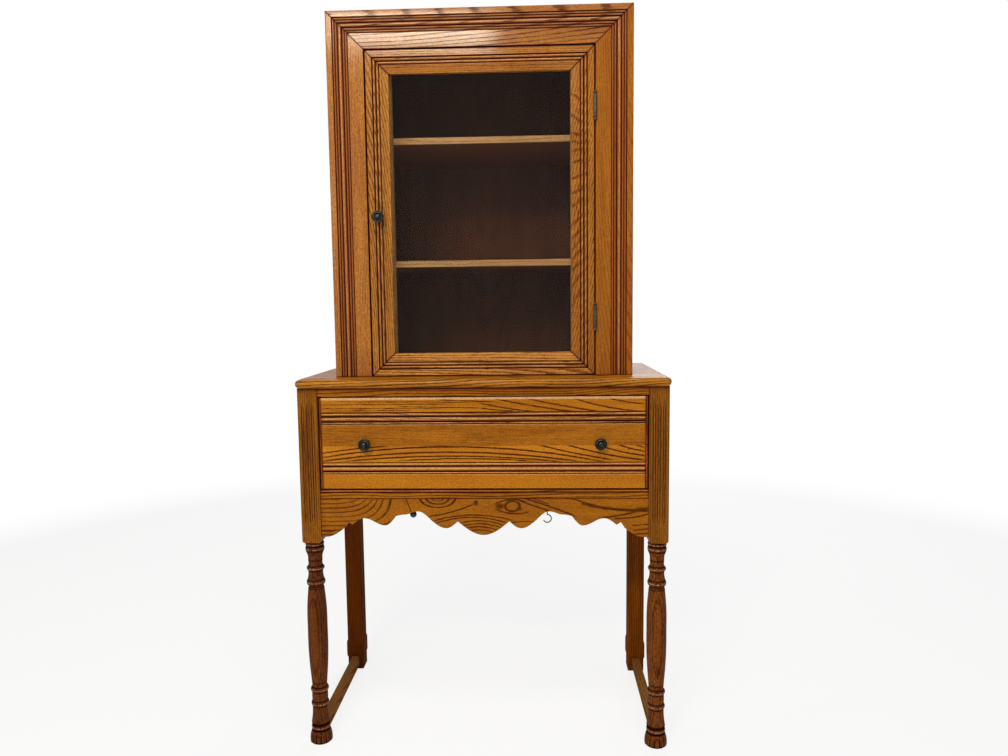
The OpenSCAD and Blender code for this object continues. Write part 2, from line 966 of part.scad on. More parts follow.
ring_h = 12;
quirk_h = 1.2;
foot_rows = [
  [2, hoof_r - 3, hoof_r - 1, 0],
  [hoof_h - 2, hoof_r - 0.8, ankle_r, 1.6],
  [quirk_h, ankle_r - 1.4, ankle_r - 1.4, 0],
  [ring_h - 1, ankle_r - 0.8, ankle_r - 0.8, 1.2],
  [quirk_h, ankle_r - 2.8, ankle_r - 2.8, 0],
  [3.4, ankle_r - 2.6, ankle_r, 0],
  [42, ankle_r, waist_r + 0.4, -1],
  [ring_h, waist_r + 1, waist_r + 1, ring_r - waist_r - 1],
  [23, waist_r + 0.4, waist_r + 0.4, 0.5],
  [ring_h, waist_r + 1, waist_r + 1, ring_r - waist_r - 0.6],
  [11, waist_r - 0.4, vase_end_r, -0.4]
];
neck_rows = [
  [5, vase_end_r + 0.8, waist_r - 0.6, 0],
  [4, waist_r - 0.6, waist_r + 0.6, 0],
  [ring_h, ring_r - 0.6, ring_r - 1, 1.7],
  [22, ring_r - 1.4, waist_r - 0.6, -1.1],
  [ring_h - 1, waist_r, waist_r, ring_r - waist_r],
  [14, neck_r + 0.4, neck_r + 0.4, -0.5],
  [22, neck_r + 0.4, collar_r - 1, -1.6],
  [21, collar_r - 0.6, collar_r - 1.5, 1.2],
  [2, collar_r - 1.7, collar_r - 3, 0]
];

function turning(top) =
  let (
    low = height_of(foot_rows, len(foot_rows)),
    high = top - height_of(neck_rows, len(neck_rows)),
    waist = high - 0.41 * (high - low),
    swell = (vase_r - vase_end_r) * 0.4
  ) concat(
    [[0, 0]],
    stack(foot_rows, 0),
    stretch([waist - low, vase_end_r, vase_r, swell], low + 0.4, 14),
    stretch([high - waist - 0.8, vase_r - 0.05, vase_end_r + 0.8, swell * 0.8], waist + 0.5, 12),
    stack(neck_rows, high),
    [[tenon_r, top], [tenon_r, top + tenon_l], [0, top + tenon_l]]
  );

module toe_lines() {
  for (i = [0:toe_n - 1])
    rotate([0, 0, -90 + (i - (toe_n - 1) / 2) * toe_pitch])
      translate([hoof_r + 0.5, 0, -2])
        rotate([0, -10, 0])
          cylinder(h = hoof_h - 7, r = toe_r);
}

module front_leg() {
  difference() {
    translate([post_x, leg_y, 0])
      difference() {
        rotate_extrude()
          polygon(turning(post_foot - joint_gap));
        toe_lines();
      }
    stretcher_box(joint_gap);
  }
}

module left_front_leg() {
  color(wood_dark)
    mirror([1, 0, 0])
      front_leg();
}

module right_front_leg() {
  color(wood_dark)
    front_leg();
}

// Back legs and stretchers

module back_leg() {
  b = block_out;
  slab(back_leg_in, half_w, back_leg_y, back_y, 0, case_top);
  slab(back_leg_in - b, half_w + b, back_leg_y - b, back_y, block_foot, block_foot + block_h);
}

module left_back_leg() {
  color(wood_dark)
    mirror([1, 0, 0])
      back_leg();
}

module right_back_leg() {
  color(wood_b)
    back_leg();
}

stretcher_x = half_w - back_leg_s / 2;

module stretcher_box(gap) {
  slab(stretcher_x - stretcher_w / 2 - gap, stretcher_x + stretcher_w / 2 + gap,
       leg_y + hoof_r - stretcher_in - gap, back_leg_y, stretcher_z - gap, stretcher_z + stretcher_h + gap);
}

module stretcher() {
  difference() {
    stretcher_box(0);
    slab(half_w - back_leg_s - block_out - 1, half_w + block_out + 1, back_leg_y - block_out, back_y,
         block_foot, block_foot + block_h);
  }
}

module left_stretcher() {
  color(wood_dark)
    mirror([1, 0, 0])
      stretcher();
}

module right_stretcher() {
  color(wood_b)
    stretcher();
}

// Case

module case_side() {
  slab(side_in, side_in + side_t, post_y + post_s, back_leg_y, side_foot, case_top);
}

module left_case_side() {
  color(wood_b)
    mirror([1, 0, 0])
      case_side();
}

module right_case_side() {
  color(wood_b)
    case_side();
}

module case_back() {
  color(wood_b)
    slab(-back_leg_in, back_leg_in, panel_front, back_y, side_foot, case_top);
}

module case_top_rail() {
  y = post_y + rail_setback;
  color(wood_a)
    slab(-post_in, post_in, y, y + rail_t, open_top, case_top);
}

module case_lower_rail() {
  y = post_y + rail_setback;
  r = rail_bead_r;
  color(wood_a)
    difference() {
      union() {
        slab(-post_in, post_in, y, y + low_rail_d, low_rail_foot, low_rail_top - 2 * r - 1);
        slab(-post_in, post_in, y + r, y + low_rail_d, low_rail_foot, low_rail_top);
        translate([-post_in, y + r, low_rail_top - r])
          rotate([0, 90, 0])
            cylinder(h = 2 * post_in, r = r);
      }
      for (x = [hook_x, -peg_x])
        translate([x, post_y + hook_y, low_rail_foot - 1])
          cylinder(h = hook_grip + 2, r = hook_wire / 2 + joint_gap);
    }
}

// Lower edge of the apron, half of it: places from the middle out, on an apron 754 wide, with
// heights above the lowest lobe. The last number of a row tells how the edge goes on to the next
// row: 0 is level at both ends, 1 is level here only, 2 is level at the next row only and 3 is
// straight.
apron_edge = [
  [0, 0, 1], [59.5, 32, 2], [86.5, 16, 1], [121, 35, 2], [151.5, 55.5, 0], [183, 48, 1], [201, 45, 1],
  [206, 40, 2], [228, 22.5, 0], [276, 39.5, 1], [304.5, 24, 3], [314.5, 30.5, 3], [323, 17, 2], [366, -4.5, 3]
];

function ease(kind, t) =
  kind == 0 ? (1 - cos(180 * t)) / 2 : kind == 1 ? 1 - cos(90 * t) : kind == 2 ? sin(90 * t) : t;

function edge_points(side, steps = 6) = [
  for (i = [0:len(apron_edge) - 2], k = [0:steps - 1])
    let (a = apron_edge[i], b = apron_edge[i + 1], t = k / steps)
      [side * apron_fit * (a[0] + (b[0] - a[0]) * t), apron_low + a[1] + (b[1] - a[1]) * ease(a[2], t)]
];

function reversed(list) = [for (i = [len(list) - 1:-1:1]) list[i]];

apron_low = apron_top - apron_h;
apron_fit = post_in / (754 / 2);
apron_end_x = apron_fit * apron_edge[len(apron_edge) - 1][0];
apron_end = apron_low + apron_edge[len(apron_edge) - 1][1];

module apron() {
  y = post_y + apron_setback;
  color(wood_a)
    prism_y(concat(
      [[-post_in, apron_top], [-post_in, apron_end], [-apron_end_x, apron_end]],
      reversed(edge_points(-1)),
      edge_points(1),
      [[apron_end_x, apron_end], [post_in, apron_end], [post_in, apron_top]]
    ), y, y + apron_t);
}

rail_back = post_y + rail_setback + low_rail_d;

module dust_board() {
  color(wood_b) {
    slab(-side_in, side_in, rail_back, back_leg_y, dust_z, dust_z + dust_t);
    slab(-back_leg_in, back_leg_in, back_leg_y - eps, panel_front, dust_z, dust_z + dust_t);
  }
}

// A runner carries the drawer side and guides it from outside; its tail carries the drawer stop
module drawer_runner() {
  inner = drawer_side_x - runner_lap;
  top = low_rail_top;
  slab(inner, side_in, rail_back, back_leg_y, dust_z + dust_t, top);
  slab(inner, back_leg_in, back_leg_y - eps, panel_front, dust_z + dust_t, top);
  slab(drawer_side_x + guide_gap, side_in, rail_back, back_leg_y, top - eps, top + runner_h);
}

module left_drawer_runner() {
  color(wood_b)
    mirror([1, 0, 0])
      drawer_runner();
}

module right_drawer_runner() {
  color(wood_b)
    drawer_runner();
}

module drawer_kickers() {
  color(wood_b)
    for (s = [0, 1])
      mirror([s, 0, 0])
        slab(drawer_side_x - runner_lap, side_in, post_y + post_s, back_leg_y,
             drawer_side_top + kicker_gap, case_top);
}

module drawer_stops() {
  color(wood_b)
    for (s = [0, 1])
      mirror([s, 0, 0])
        slab(drawer_side_x - runner_lap, drawer_side_x, drawer_back_y + drawer_stop_gap,
             drawer_back_y + drawer_stop_gap + drawer_stop_l, low_rail_top, low_rail_top + runner_h);
}

// Hooks under the case, screwed up into the lower rail

hook_grip = 14;

module ring_hook() {
  w = hook_wire / 2;
  y = post_y + hook_y;
  color([0.4, 0.42, 0.45]) {
    translate([hook_x, y, hook_z])
      rotate([90, 0, 0])
        rotate([0, 0, 205])
          rotate_extrude(angle = 245)
            translate([hook_ring_r, 0])
              circle(r = w);
    translate([hook_x, y, hook_z + hook_ring_r])
      cylinder(h = low_rail_foot - hook_z - hook_ring_r + hook_grip, r = w);
  }
}

module ball_peg() {
  y = post_y + hook_y;
  color([0.05, 0.05, 0.06]) {
    translate([-peg_x, y, peg_z])
      sphere(r = peg_ball_d / 2);
    translate([-peg_x, y, peg_z])
      cylinder(h = low_rail_foot - peg_z + hook_grip, r = hook_wire / 2);
  }
}

// Drawer

drawer_reeds = [reed_w + 3, wide_reed_w + 1.6, reed_w - 1];
drawer_reed_w = sum_to(drawer_reeds, 3);
drawer_band_w = (drawer_h - drawer_flat_h) / 2 - drawer_reed_w - groove_w;
drawer_flat_x = (drawer_h - drawer_flat_h) / 2;
drawer_low_band_x = drawer_h - drawer_band_w;

module drawer_section() {
  translate([0, groove_depth])
    square([drawer_h, drawer_front_t - groove_depth]);
  band(drawer_band_w, drawer_front_t, 2.5);
  reeds(drawer_band_w, drawer_reeds);
  translate([drawer_flat_x, 0])
    square([drawer_flat_h, drawer_front_t]);
  reeds(drawer_flat_x + drawer_flat_h, drawer_reeds);
  translate([drawer_low_band_x, 0])
    square([drawer_band_w, drawer_front_t]);
}

module drawer_front() {
  half = drawer_half - end_bead_w;
  color(wood_a)
    difference() {
      union() {
        translate([0, drawer_y, 0])
          top_member(half, drawer_top)
            drawer_section();
        slab(-drawer_half, drawer_half, drawer_y + groove_depth, drawer_y + drawer_front_t,
             drawer_foot, drawer_top);
      }
      for (x = [-drawer_knob_x, drawer_knob_x])
        translate([x, 0, drawer_mid])
          knob_hole(drawer_y, drawer_front_t);
    }
}

module drawer_end_beads() {
  w = end_bead_w - joint_gap;
  color(wood_b)
    for (s = [0, 1])
      mirror([s, 0, 0])
        intersection() {
          translate([drawer_half - w / 2, drawer_y + groove_depth, drawer_foot])
            cylinder(h = drawer_h, r = w / 2);
          slab(drawer_half - w, drawer_half, drawer_y, drawer_y + groove_depth, drawer_foot, drawer_top);
        }
}

module drawer_side() {
  slab(drawer_side_x - drawer_side_t, drawer_side_x, drawer_y + drawer_front_t, drawer_back_y,
       drawer_side_foot, drawer_side_top);
}

module drawer_groove(gap) {
  z = drawer_side_foot + drawer_floor_z;
  slab(-drawer_side_x + drawer_side_t / 2 - gap, drawer_side_x - drawer_side_t / 2 + gap,
       drawer_y + drawer_front_t, drawer_back_y - drawer_side_t, z - gap, z + drawer_floor_t + gap);
}

module drawer_left_side() {
  color(wood_b)
    difference() {
      mirror([1, 0, 0])
        drawer_side();
      drawer_groove(joint_gap);
    }
}

module drawer_right_side() {
  color(wood_b)
    difference() {
      drawer_side();
      drawer_groove(joint_gap);
    }
}

module drawer_back() {
  in = drawer_side_x - drawer_side_t;
  color(wood_b)
    slab(-in, in, drawer_back_y - drawer_side_t, drawer_back_y, drawer_side_foot, drawer_side_top);
}

module drawer_bottom() {
  color(wood_b)
    drawer_groove(0);
}

module drawer_knobs() {
  color(bronze)
    for (x = [-drawer_knob_x, drawer_knob_x])
      translate([x, drawer_y, drawer_mid])
        bored_knob();
}

module drawer_knob_screws() {
  color("silver")
    for (x = [-drawer_knob_x, drawer_knob_x])
      translate([x, drawer_y, drawer_mid])
        knob_screw(drawer_front_t - knob_head_in);
}

left_front_post();
right_front_post();
left_front_leg();
right_front_leg();
left_back_leg();
right_back_leg();
left_stretcher();
right_stretcher();
left_case_side();
right_case_side();
case_back();
case_top_rail();
case_lower_rail();
apron();
dust_board();
left_drawer_runner();
right_drawer_runner();
drawer_kickers();
drawer_stops();
top_board();
ring_hook();
ball_peg();
left_face_stile();
right_face_stile();
top_face_rail();
left_upper_side();
right_upper_side();
upper_top_panel();
upper_bottom_panel();
upper_back();
upper_shelf();
lower_shelf();
upper_shelf_cleats();
lower_shelf_cleats();
left_stop_board();
right_stop_board();
case_hinge_leaves();
hinge_pins();
case_hinge_screws();
door_catch();
door_left_stile();
door_right_stile();
door_top_rail();
door_bottom_rail();
door_glass();
glazing_beads();
door_knob();
door_knob_screw();
door_hinge_leaves();
door_hinge_screws();
catch_plate();
drawer_front();
drawer_left_side();
drawer_right_side();
drawer_back();
drawer_bottom();
drawer_knobs();
drawer_knob_screws();
drawer_end_beads();
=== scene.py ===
import json
import math

import bmesh
import bpy
from mathutils import Matrix, Vector


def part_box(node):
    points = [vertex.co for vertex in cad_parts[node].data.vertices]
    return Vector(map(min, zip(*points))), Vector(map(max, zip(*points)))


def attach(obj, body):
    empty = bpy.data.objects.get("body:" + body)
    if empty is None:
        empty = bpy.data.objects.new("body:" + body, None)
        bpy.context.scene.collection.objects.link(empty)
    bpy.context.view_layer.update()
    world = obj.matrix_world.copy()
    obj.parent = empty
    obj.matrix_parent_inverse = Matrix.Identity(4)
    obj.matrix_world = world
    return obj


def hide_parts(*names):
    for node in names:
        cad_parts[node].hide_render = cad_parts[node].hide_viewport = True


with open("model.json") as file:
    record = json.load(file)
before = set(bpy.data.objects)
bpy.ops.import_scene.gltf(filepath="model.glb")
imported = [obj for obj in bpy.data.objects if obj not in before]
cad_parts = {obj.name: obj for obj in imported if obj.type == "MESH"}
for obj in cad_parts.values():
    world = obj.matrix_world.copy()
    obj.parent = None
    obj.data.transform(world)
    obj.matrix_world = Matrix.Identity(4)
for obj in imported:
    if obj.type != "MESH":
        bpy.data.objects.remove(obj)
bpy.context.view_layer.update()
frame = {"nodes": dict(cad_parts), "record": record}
record = frame["record"]
scene = bpy.context.scene
mm = 0.001

slots = {part["node"]: part["material_slot"] for part in record["subparts"]}
bodyOf = {node: body for body, nodes in record["behaviour"]["bodies"].items() for node in nodes}


def boxOf(node):
    low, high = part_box(node)
    return [v / mm for v in low], [v / mm for v in high]


def place(name, data):
    made = bpy.data.objects.new(name, data)
    scene.collection.objects.link(made)
    return made


# Shader maths: a wire is a socket, and an expression on wires adds the nodes that it needs

class Wire:
    def __init__(self, tree, socket=None):
        self.tree = tree
        self.socket = socket

    def node(self, kind, settings=None, inputs=None, output=0):
        made = self.tree.nodes.new("ShaderNode" + kind)
        for name, value in (settings or {}).items():
            setattr(made, name, value)
        for key, value in (inputs or {}).items():
            if isinstance(value, Wire):
                self.tree.links.new(value.socket, made.inputs[key])
            else:
                made.inputs[key].default_value = value
        return Wire(self.tree, made.outputs[output])

    def other(self, output):
        return Wire(self.tree, self.socket.node.outputs[output])

    def maths(self, operation, first, second=0.0, third=0.0):
        return self.node("Math", {"operation": operation}, {0: first, 1: second, 2: third})

    def __add__(self, other):
        return self.maths("ADD", self, other)

    __radd__ = __add__

    def __sub__(self, other):
        return self.maths("SUBTRACT", self, other)

    def __rsub__(self, other):
        return self.maths("SUBTRACT", other, self)

    def __mul__(self, other):
        return self.maths("MULTIPLY", self, other)

    __rmul__ = __mul__

    def __truediv__(self, other):
        return self.maths("DIVIDE", self, other)

    def __rtruediv__(self, other):
        return self.maths("DIVIDE", other, self)

    def __pow__(self, other):
        return self.maths("POWER", self, other)

    def step(self, low, high):  # 0 below low, 1 above high, smooth between
        return self.node("MapRange", {"interpolation_type": "SMOOTHSTEP"}, {0: self, 1: low, 2: high})

    def mix(self, first, second):  # this wire is the factor between two colours
        return self.node("Mix", {"data_type": "RGBA"}, {0: self, 6: first, 7: second}, 2)


def tone(red, green, blue):  # a colour as a painter reads it, 0 to 255
    def linear(value):
        value = value / 255
        return value / 12.92 if value <= 0.04045 else ((value + 0.055) / 1.055) ** 2.4
    return linear(red), linear(green), linear(blue), 1.0


def newMaterial(name):
    material = bpy.data.materials.new(name)
    material.use_nodes = True
    tree = material.node_tree
    tree.nodes.clear()
    return material, Wire(tree)


def finish(start, shader, kind="Material"):
    output = start.tree.nodes.new("ShaderNodeOutput" + kind)
    start.tree.links.new(shader.socket, output.inputs["Surface"])


def noiseOn(point, scale, detail):
    return point.node("TexNoise", None, {"Vector": point, "Scale": scale, "Detail": detail})


print("wood finishes")

oakLook = {  # colours run from 0 to 255
    "grain": "x",               # the axis that the grain follows
    "light": (182, 111, 8),
    "mid": (148, 84, 2),
    "dark": (58, 22, 0),        # the porous rings
    "warmStain": (108, 44, 18), # the finish that gathers on mouldings, and painted shade in them
    "stain": (42, 9, 2),        # and in the deepest grooves and joints; in the grooves it is also painted shade
    "wornAndSheen": (222, 172, 118),    # where hands and polish have thinned it, and painted highlights on crests and edges
    "ringWidth": 6.0,
    "ringShade": 0.85,
    "ringFade": 0.5,            # share of a ring over which its dark line fades out
    "ragged": 0.22,
    "pith": (0, -60),           # place of the heart of the tree across and behind the face
    "drift": (0.0, 0.03),       # how the board leans from it, per length
    "warp": 14,
    "figures": (),              # swirls: along, across, half length, half width, rings
    "ringReach": None,          # where along the board the rings die out
    "strokes": (),              # single dark lines: from along, across, to along, across, bend, width
    "eyes": (),                 # nested ovals: along, across, half length, half width, rings
    "spots": (),                # dark patches: along, across, half length, half width
    "paintedShadeLines": (),                # painted shade lines along the grain: across, width
    "seed": 0,
    "gloss": 0.4,
    "shine": 0.03,
    "coat": 0.13,
    "coatGloss": 0.12,
    "streaks": 0.5,
    "pores": 0.75,
    "flecks": 0.4,
}

woodNoise = {  # frequency along and across the grain per mm, detail, and a shift that keeps them apart
    "sway": (0.0035, 0.013, 1.0, 0),      # how the rings wander sideways
    "wander": (0.0022, 0.009, 0.0, 41),   # and behind the face
    "ragged": (0.03, 0.5, 1.0, 7),        # the rough edges of the dark lines
    "broad": (0.004, 0.03, 1.0, 11),      # lighter and darker areas
    "fibre": (0.01, 0.42, 2.0, 3),
    "pore": (0.055, 0.8, 1.0, 5),
    "fleck": (0.22, 0.5, 1.0, 23),
}
noRings = (-9000, -8999)  # a ring reach that ends before every board


def oak(name, **changes):
    look = {**oakLook, **changes}
    light, mid, dark, warmStain, stain, wornAndSheen = (
        tone(*look[key]) for key in ("light", "mid", "dark", "warmStain", "stain", "wornAndSheen"))
    material, start = newMaterial("oak, " + name)
    point = start.node("TexCoord", output="Object")
    scaled = start.node("VectorMath", {"operation": "SCALE"}, {0: point, 3: 1 / mm})
    x = start.node("SeparateXYZ", None, {0: scaled})
    y, z = x.other(1), x.other(2)
    along, across, depth = {"x": (x, z, y), "z": (z, x, y), "y": (y, z, x)}[look["grain"]]

    def noise(kind):  # from 0 to 1, drawn out along the grain, and other on each board
        alongScale, acrossScale, detail, shift = woodNoise[kind]
        point = start.node("CombineXYZ", None, {
            0: along * alongScale + (look["seed"] * 17.3 + shift),
            1: across * acrossScale,
            2: depth * acrossScale})
        return noiseOn(point, 1.0, detail)

    sway = noise("sway") - 0.5
    wander = noise("wander") - 0.5
    side = across - look["pith"][0] - along * look["drift"][0] + sway * (2 * look["warp"])
    behind = depth * 0.9 - look["pith"][1] - along * look["drift"][1] + wander * (3 * look["warp"])
    rings = (side * side + behind * behind) ** 0.5 / look["ringWidth"]
    for alongPlace, acrossPlace, halfLength, halfWidth, count in look["figures"]:
        u = (along - alongPlace) / halfLength
        v = (across - acrossPlace) / halfWidth
        rings = rings + count * start.maths("EXPONENT", -1.0 * (u * u + v * v))
    ragged = noise("ragged") - 0.5
    phase = start.maths("FRACT", rings + ragged * look["ragged"])
    broad = noise("broad")
    fade = look["ringFade"]
    ring = phase.step(0.0, 0.06) * (1 - phase.step(0.45 * fade, fade))  # a sharp edge, then a slow fade
    ring = ring * (0.7 + 0.3 * broad.step(0.35, 0.6))
    if look["ringReach"]:
        ring = ring * (1 - along.step(*look["ringReach"]))
    for fromAlong, fromAcross, toAlong, toAcross, bend, width in look["strokes"]:
        t = (along - fromAlong) / (toAlong - fromAlong)
        middle = t * (toAcross - fromAcross) + t * (1 - t) * (4 * bend) + fromAcross
        away = start.maths("ABSOLUTE", across + ragged * 3 - middle)
        inside = t.step(-0.08, 0.08) * (1 - t.step(0.92, 1.08))
        ring = start.maths("MAXIMUM", ring, inside * (1 - away.step(0.3 * width, width)))

    def oval(alongPlace, acrossPlace, halfLength, halfWidth):
        u = (along - alongPlace) / halfLength
        v = (across + ragged * 3 - acrossPlace) / halfWidth
        return (u * u + v * v) ** 0.5

    for *eye, count in look["eyes"]:
        radius = oval(*eye)
        line = 1 - start.maths("ABSOLUTE", start.maths("FRACT", radius * count + 0.5) - 0.5).step(0.08, 0.3)
        ring = start.maths("MAXIMUM", ring, line * radius.step(0.25, 0.4) * (1 - radius.step(1.1, 1.25)))
    for spot in look["spots"]:
        ring = start.maths("MAXIMUM", ring, 0.85 * (1 - oval(*spot).step(0.5, 1.15)))
    fibre = noise("fibre")
    pore = noise("pore").step(0.5, 0.62)

    shade = fibre.step(0.34, 0.66) * look["streaks"] + broad.step(0.35, 0.7) * (1 - look["streaks"])
    colour = shade.mix(light, mid)
    groove = start.node("Attribute", {"attribute_name": "groove"}, output="Fac")
    # where the groove attribute is negative the colour turns lighter: wear and painted highlights
    colour = (1 - groove.step(-1.0, 0.0)).mix(colour, wornAndSheen)
    pitted = pore * (0.2 + 0.5 * ring) * look["pores"]  # the pores lie closest in the dark rings
    openGrain = start.maths("MINIMUM", ring * look["ringShade"] + pitted, 1.0)
    colour = openGrain.mix(colour, dark)
    fleck = noise("fleck").step(0.42, 0.62)
    colour = (fleck * look["flecks"]).mix(colour, warmStain)
    for shadeLinePlace, shadeLineWidth in look["paintedShadeLines"]:
        away = start.maths("ABSOLUTE", across - shadeLinePlace)
        groove = start.maths("MAXIMUM", groove, 1 - away.step(0.3 * shadeLineWidth, shadeLineWidth))
    # the groove attribute darkens the colour: stain in joints and grooves, also painted shade in the grooves,
    # under the top board, under the shelves and along the painted shade lines
    colour = (groove.step(0.0, 0.55) * 0.8).mix(colour, warmStain)
    colour = groove.step(0.5, 1.0).mix(colour, stain)

    height = fibre * 0.3 - pore * 0.6 - ring * 0.4
    bump = start.node("Bump", None, {"Strength": 0.35, "Distance": 0.3 * mm, "Height": height})
    polish = (1 - 0.75 * openGrain) * (1 - 0.85 * groove.step(0.2, 0.8))  # none in open grain and grooves
    shader = start.node("BsdfPrincipled", None, {
        "Base Color": colour,
        "Roughness": look["gloss"] + 0.14 * pore,
        "Normal": bump,
        "Specular IOR Level": look["shine"],
        "Coat Weight": look["coat"] * polish,
        "Coat Roughness": look["coatGloss"]})
    finish(start, shader)
    return material


print("glass and metal finishes")

glassLook = {
    "through": (0.8, 0.785, 0.755, 1),
    "shadow": (0.6, 0.585, 0.55, 1),    # what a shadow keeps of the light behind the pane
    "bend": 1.16,
    "smear": 0.01,
}


def paneGlass():
    material, start = newMaterial("pane glass")
    smear = noiseOn(start.node("TexCoord", output="Object"), 5.0, 2.0)
    shader = start.node("BsdfPrincipled", None, {
        "Base Color": glassLook["through"],
        "Roughness": glassLook["smear"] * smear.step(0.45, 0.8),
        "Transmission Weight": 1.0,
        "IOR": glassLook["bend"]})
    clear = start.node("BsdfTransparent", None, {"Color": glassLook["shadow"]})
    lampRay = start.node("LightPath", output="Is Shadow Ray")
    finish(start, start.node("MixShader", None, {0: lampRay, 1: shader, 2: clear}))
    return material


metalLook = {
    "dirt": (0.004, 0.003, 0.003, 1), "dirtShare": 0.9, "patchScale": 160.0,
    "grainScale": 900.0, "grainStrength": 0.15, "grainDepth": 0.1, "grainRoughness": 0.12}


def metal(name, colour, wornAndSheen, roughness, metallic=1.0):
    look = metalLook
    material, start = newMaterial(name)
    point = start.node("TexCoord", output="Object")
    patches = noiseOn(point, look["patchScale"], 3.0)
    groove = start.node("Attribute", {"attribute_name": "groove"}, output="Fac")
    grain = noiseOn(point, look["grainScale"], 2.0)
    bump = start.node("Bump", None, {
        "Strength": look["grainStrength"], "Distance": look["grainDepth"] * mm, "Height": grain})
    clean = patches.step(0.45, 0.75).mix(colour, wornAndSheen)
    shader = start.node("BsdfPrincipled", None, {
        "Base Color": (groove * look["dirtShare"]).mix(clean, look["dirt"]),
        "Metallic": metallic,
        "Roughness": roughness + look["grainRoughness"] * grain,
        "Normal": bump})
    finish(start, shader)
    return material


bronze = metal("dark bronze", (0.033, 0.031, 0.027, 1), (0.08, 0.068, 0.05, 1), 0.26)

# Mesh building, in millimetres

up, down, right, left = (0, 0, 1), (0, 0, -1), (1, 0, 0), (-1, 0, 0)


def piece(name, shape, nodes, material, grooves=None, sharpAngle=38, flats=True):
    points, faces = shape
    mesh = bpy.data.meshes.new(name)
    mesh.from_pydata([Vector(p) * mm for p in points], [], faces)
    mesh.validate()
    if grooves:
        layer = mesh.attributes.new("groove", "FLOAT", "POINT")
        layer.data.foreach_set("value", grooves)
    mesh.polygons.foreach_set("use_smooth", [True] * len(mesh.polygons))
    mesh.set_sharp_from_angle(angle=math.radians(sharpAngle))
    made = place(name, mesh)
    mesh.materials.append(material)
    if flats:  # the large faces stay flat in reflections beside their rounded edges
        made.modifiers.new("flat faces", "WEIGHTED_NORMAL").keep_sharp = True
    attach(made, bodyOf[nodes[0]])
    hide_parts(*nodes)


def loft(rings, turned=False):  # faces between rings of points, and caps on the first and last
    size = len(rings[0])
    faces = []
    for i in range(len(rings) - 1):
        for j in range(size):
            k = (j + 1) % size
            faces.append((i * size + j, i * size + k, (i + 1) * size + k, (i + 1) * size + j))
    faces.append(tuple(reversed(range(size))))
    faces.append(tuple((len(rings) - 1) * size + j for j in range(size)))
    if turned:
        faces = [tuple(reversed(face)) for face in faces]
    return [p for ring in rings for p in ring], faces


def arc(middle, radius, first, last, steps):
    return [(middle[0] + radius * math.cos(math.radians(first + (last - first) * i / steps)),
             middle[1] + radius * math.sin(math.radians(first + (last - first) * i / steps)))
            for i in range(steps + 1)]


# Mouldings: a section is a closed list of (place from the outer edge, depth behind the face, stain)

groove = {"depth": 3.0, "drop": 0.5, "width": 0.8}
reed = {"steps": 8, "cleanHalf": 0.1, "stainFade": 0.7, "paintedSheenAt": -0.3, "paintedSheenHalf": 0.45, "paintedSheenMore": 0.35}


def reedPoints(start, widths, wornAndSheen, tints):  # tints keep a reed stained all over; -1 leaves it clean
    points = []
    for width, tint in zip(widths, tints):
        span = width - groove["width"]
        rise = groove["depth"] - groove["drop"]
        radius = (span * span / 4 + rise * rise) / (2 * rise)
        middle = start + groove["width"] + span / 2
        half = math.degrees(math.asin(min(1, span / 2 / radius)))
        for i in range(reed["steps"] + 1):
            t = -1 + 2 * i / reed["steps"]
            angle = math.radians(half * t)
            depth = groove["drop"] + radius * (1 - math.cos(angle))
            stain = min(1, (abs(t) - reed["cleanHalf"]) / reed["stainFade"])
            # a painted highlight near the upper or outer side of each crest, as well as wear
            stain -= (wornAndSheen + reed["paintedSheenMore"]) * max(0, 1 - abs(t - reed["paintedSheenAt"]) / reed["paintedSheenHalf"])
            points.append((middle + radius * math.sin(angle), depth, max(stain, tint)))
        start += width
    return points


def plain(points, stain=0.0):
    return [(u, d, stain) for u, d in points]


def bandEdge(band):  # a flat band dips into its first groove
    return [(band - 1.8, 0, 0), (band - 1, 0, 0.6), (band - 0.2, 0.25, 0.9), (band, groove["depth"], 1)]


def brightRise(flat):  # up from the last groove onto a flat, over a rubbed edge with a painted highlight
    return [(flat, groove["depth"], 1), (flat, 0.8, 0.9), (flat + 0.4, 0, -0.6), (flat + 1.6, 0, -0.5),
            (flat + 2.4, 0, 0)]


frameMoulding = {"width": 85, "band": 15, "reeds": [5.7, 5.7, 11.4, 5.7, 5.7], "wornAndSheen": 0.3, "round": 3,
                 "flatDepth": 1.5, "stileTint": 0.33, "railTint": 0.21}


def frameSection(thick, tint):
    band, reeds, r = frameMoulding["band"], frameMoulding["reeds"], frameMoulding["round"]
    width, sunk = frameMoulding["width"], frameMoulding["flatDepth"]
    flat = band + sum(reeds) + groove["width"]
    return (plain([(0, thick)]) + plain(arc((r, r), r, 180, 270, 5)) + bandEdge(band)
            + reedPoints(band, reeds, frameMoulding["wornAndSheen"], (tint, tint, -1, tint, tint))
            + [(flat, groove["depth"], 1), (flat, 2.2, 0.7), (flat + 0.7, sunk, 0.1), (width - 1.4, sunk, 0),
               (width - 0.6, 1.7, 0.6), (width, 2.4, 1), (width, thick, 1)])


doorMoulding = {"width": 53, "band": 16, "reeds": [8.0, 8.0], "wornAndSheen": 0.3, "round": 1, "nose": 1.8,
                "rebate": 44, "rebateDepth": 9}


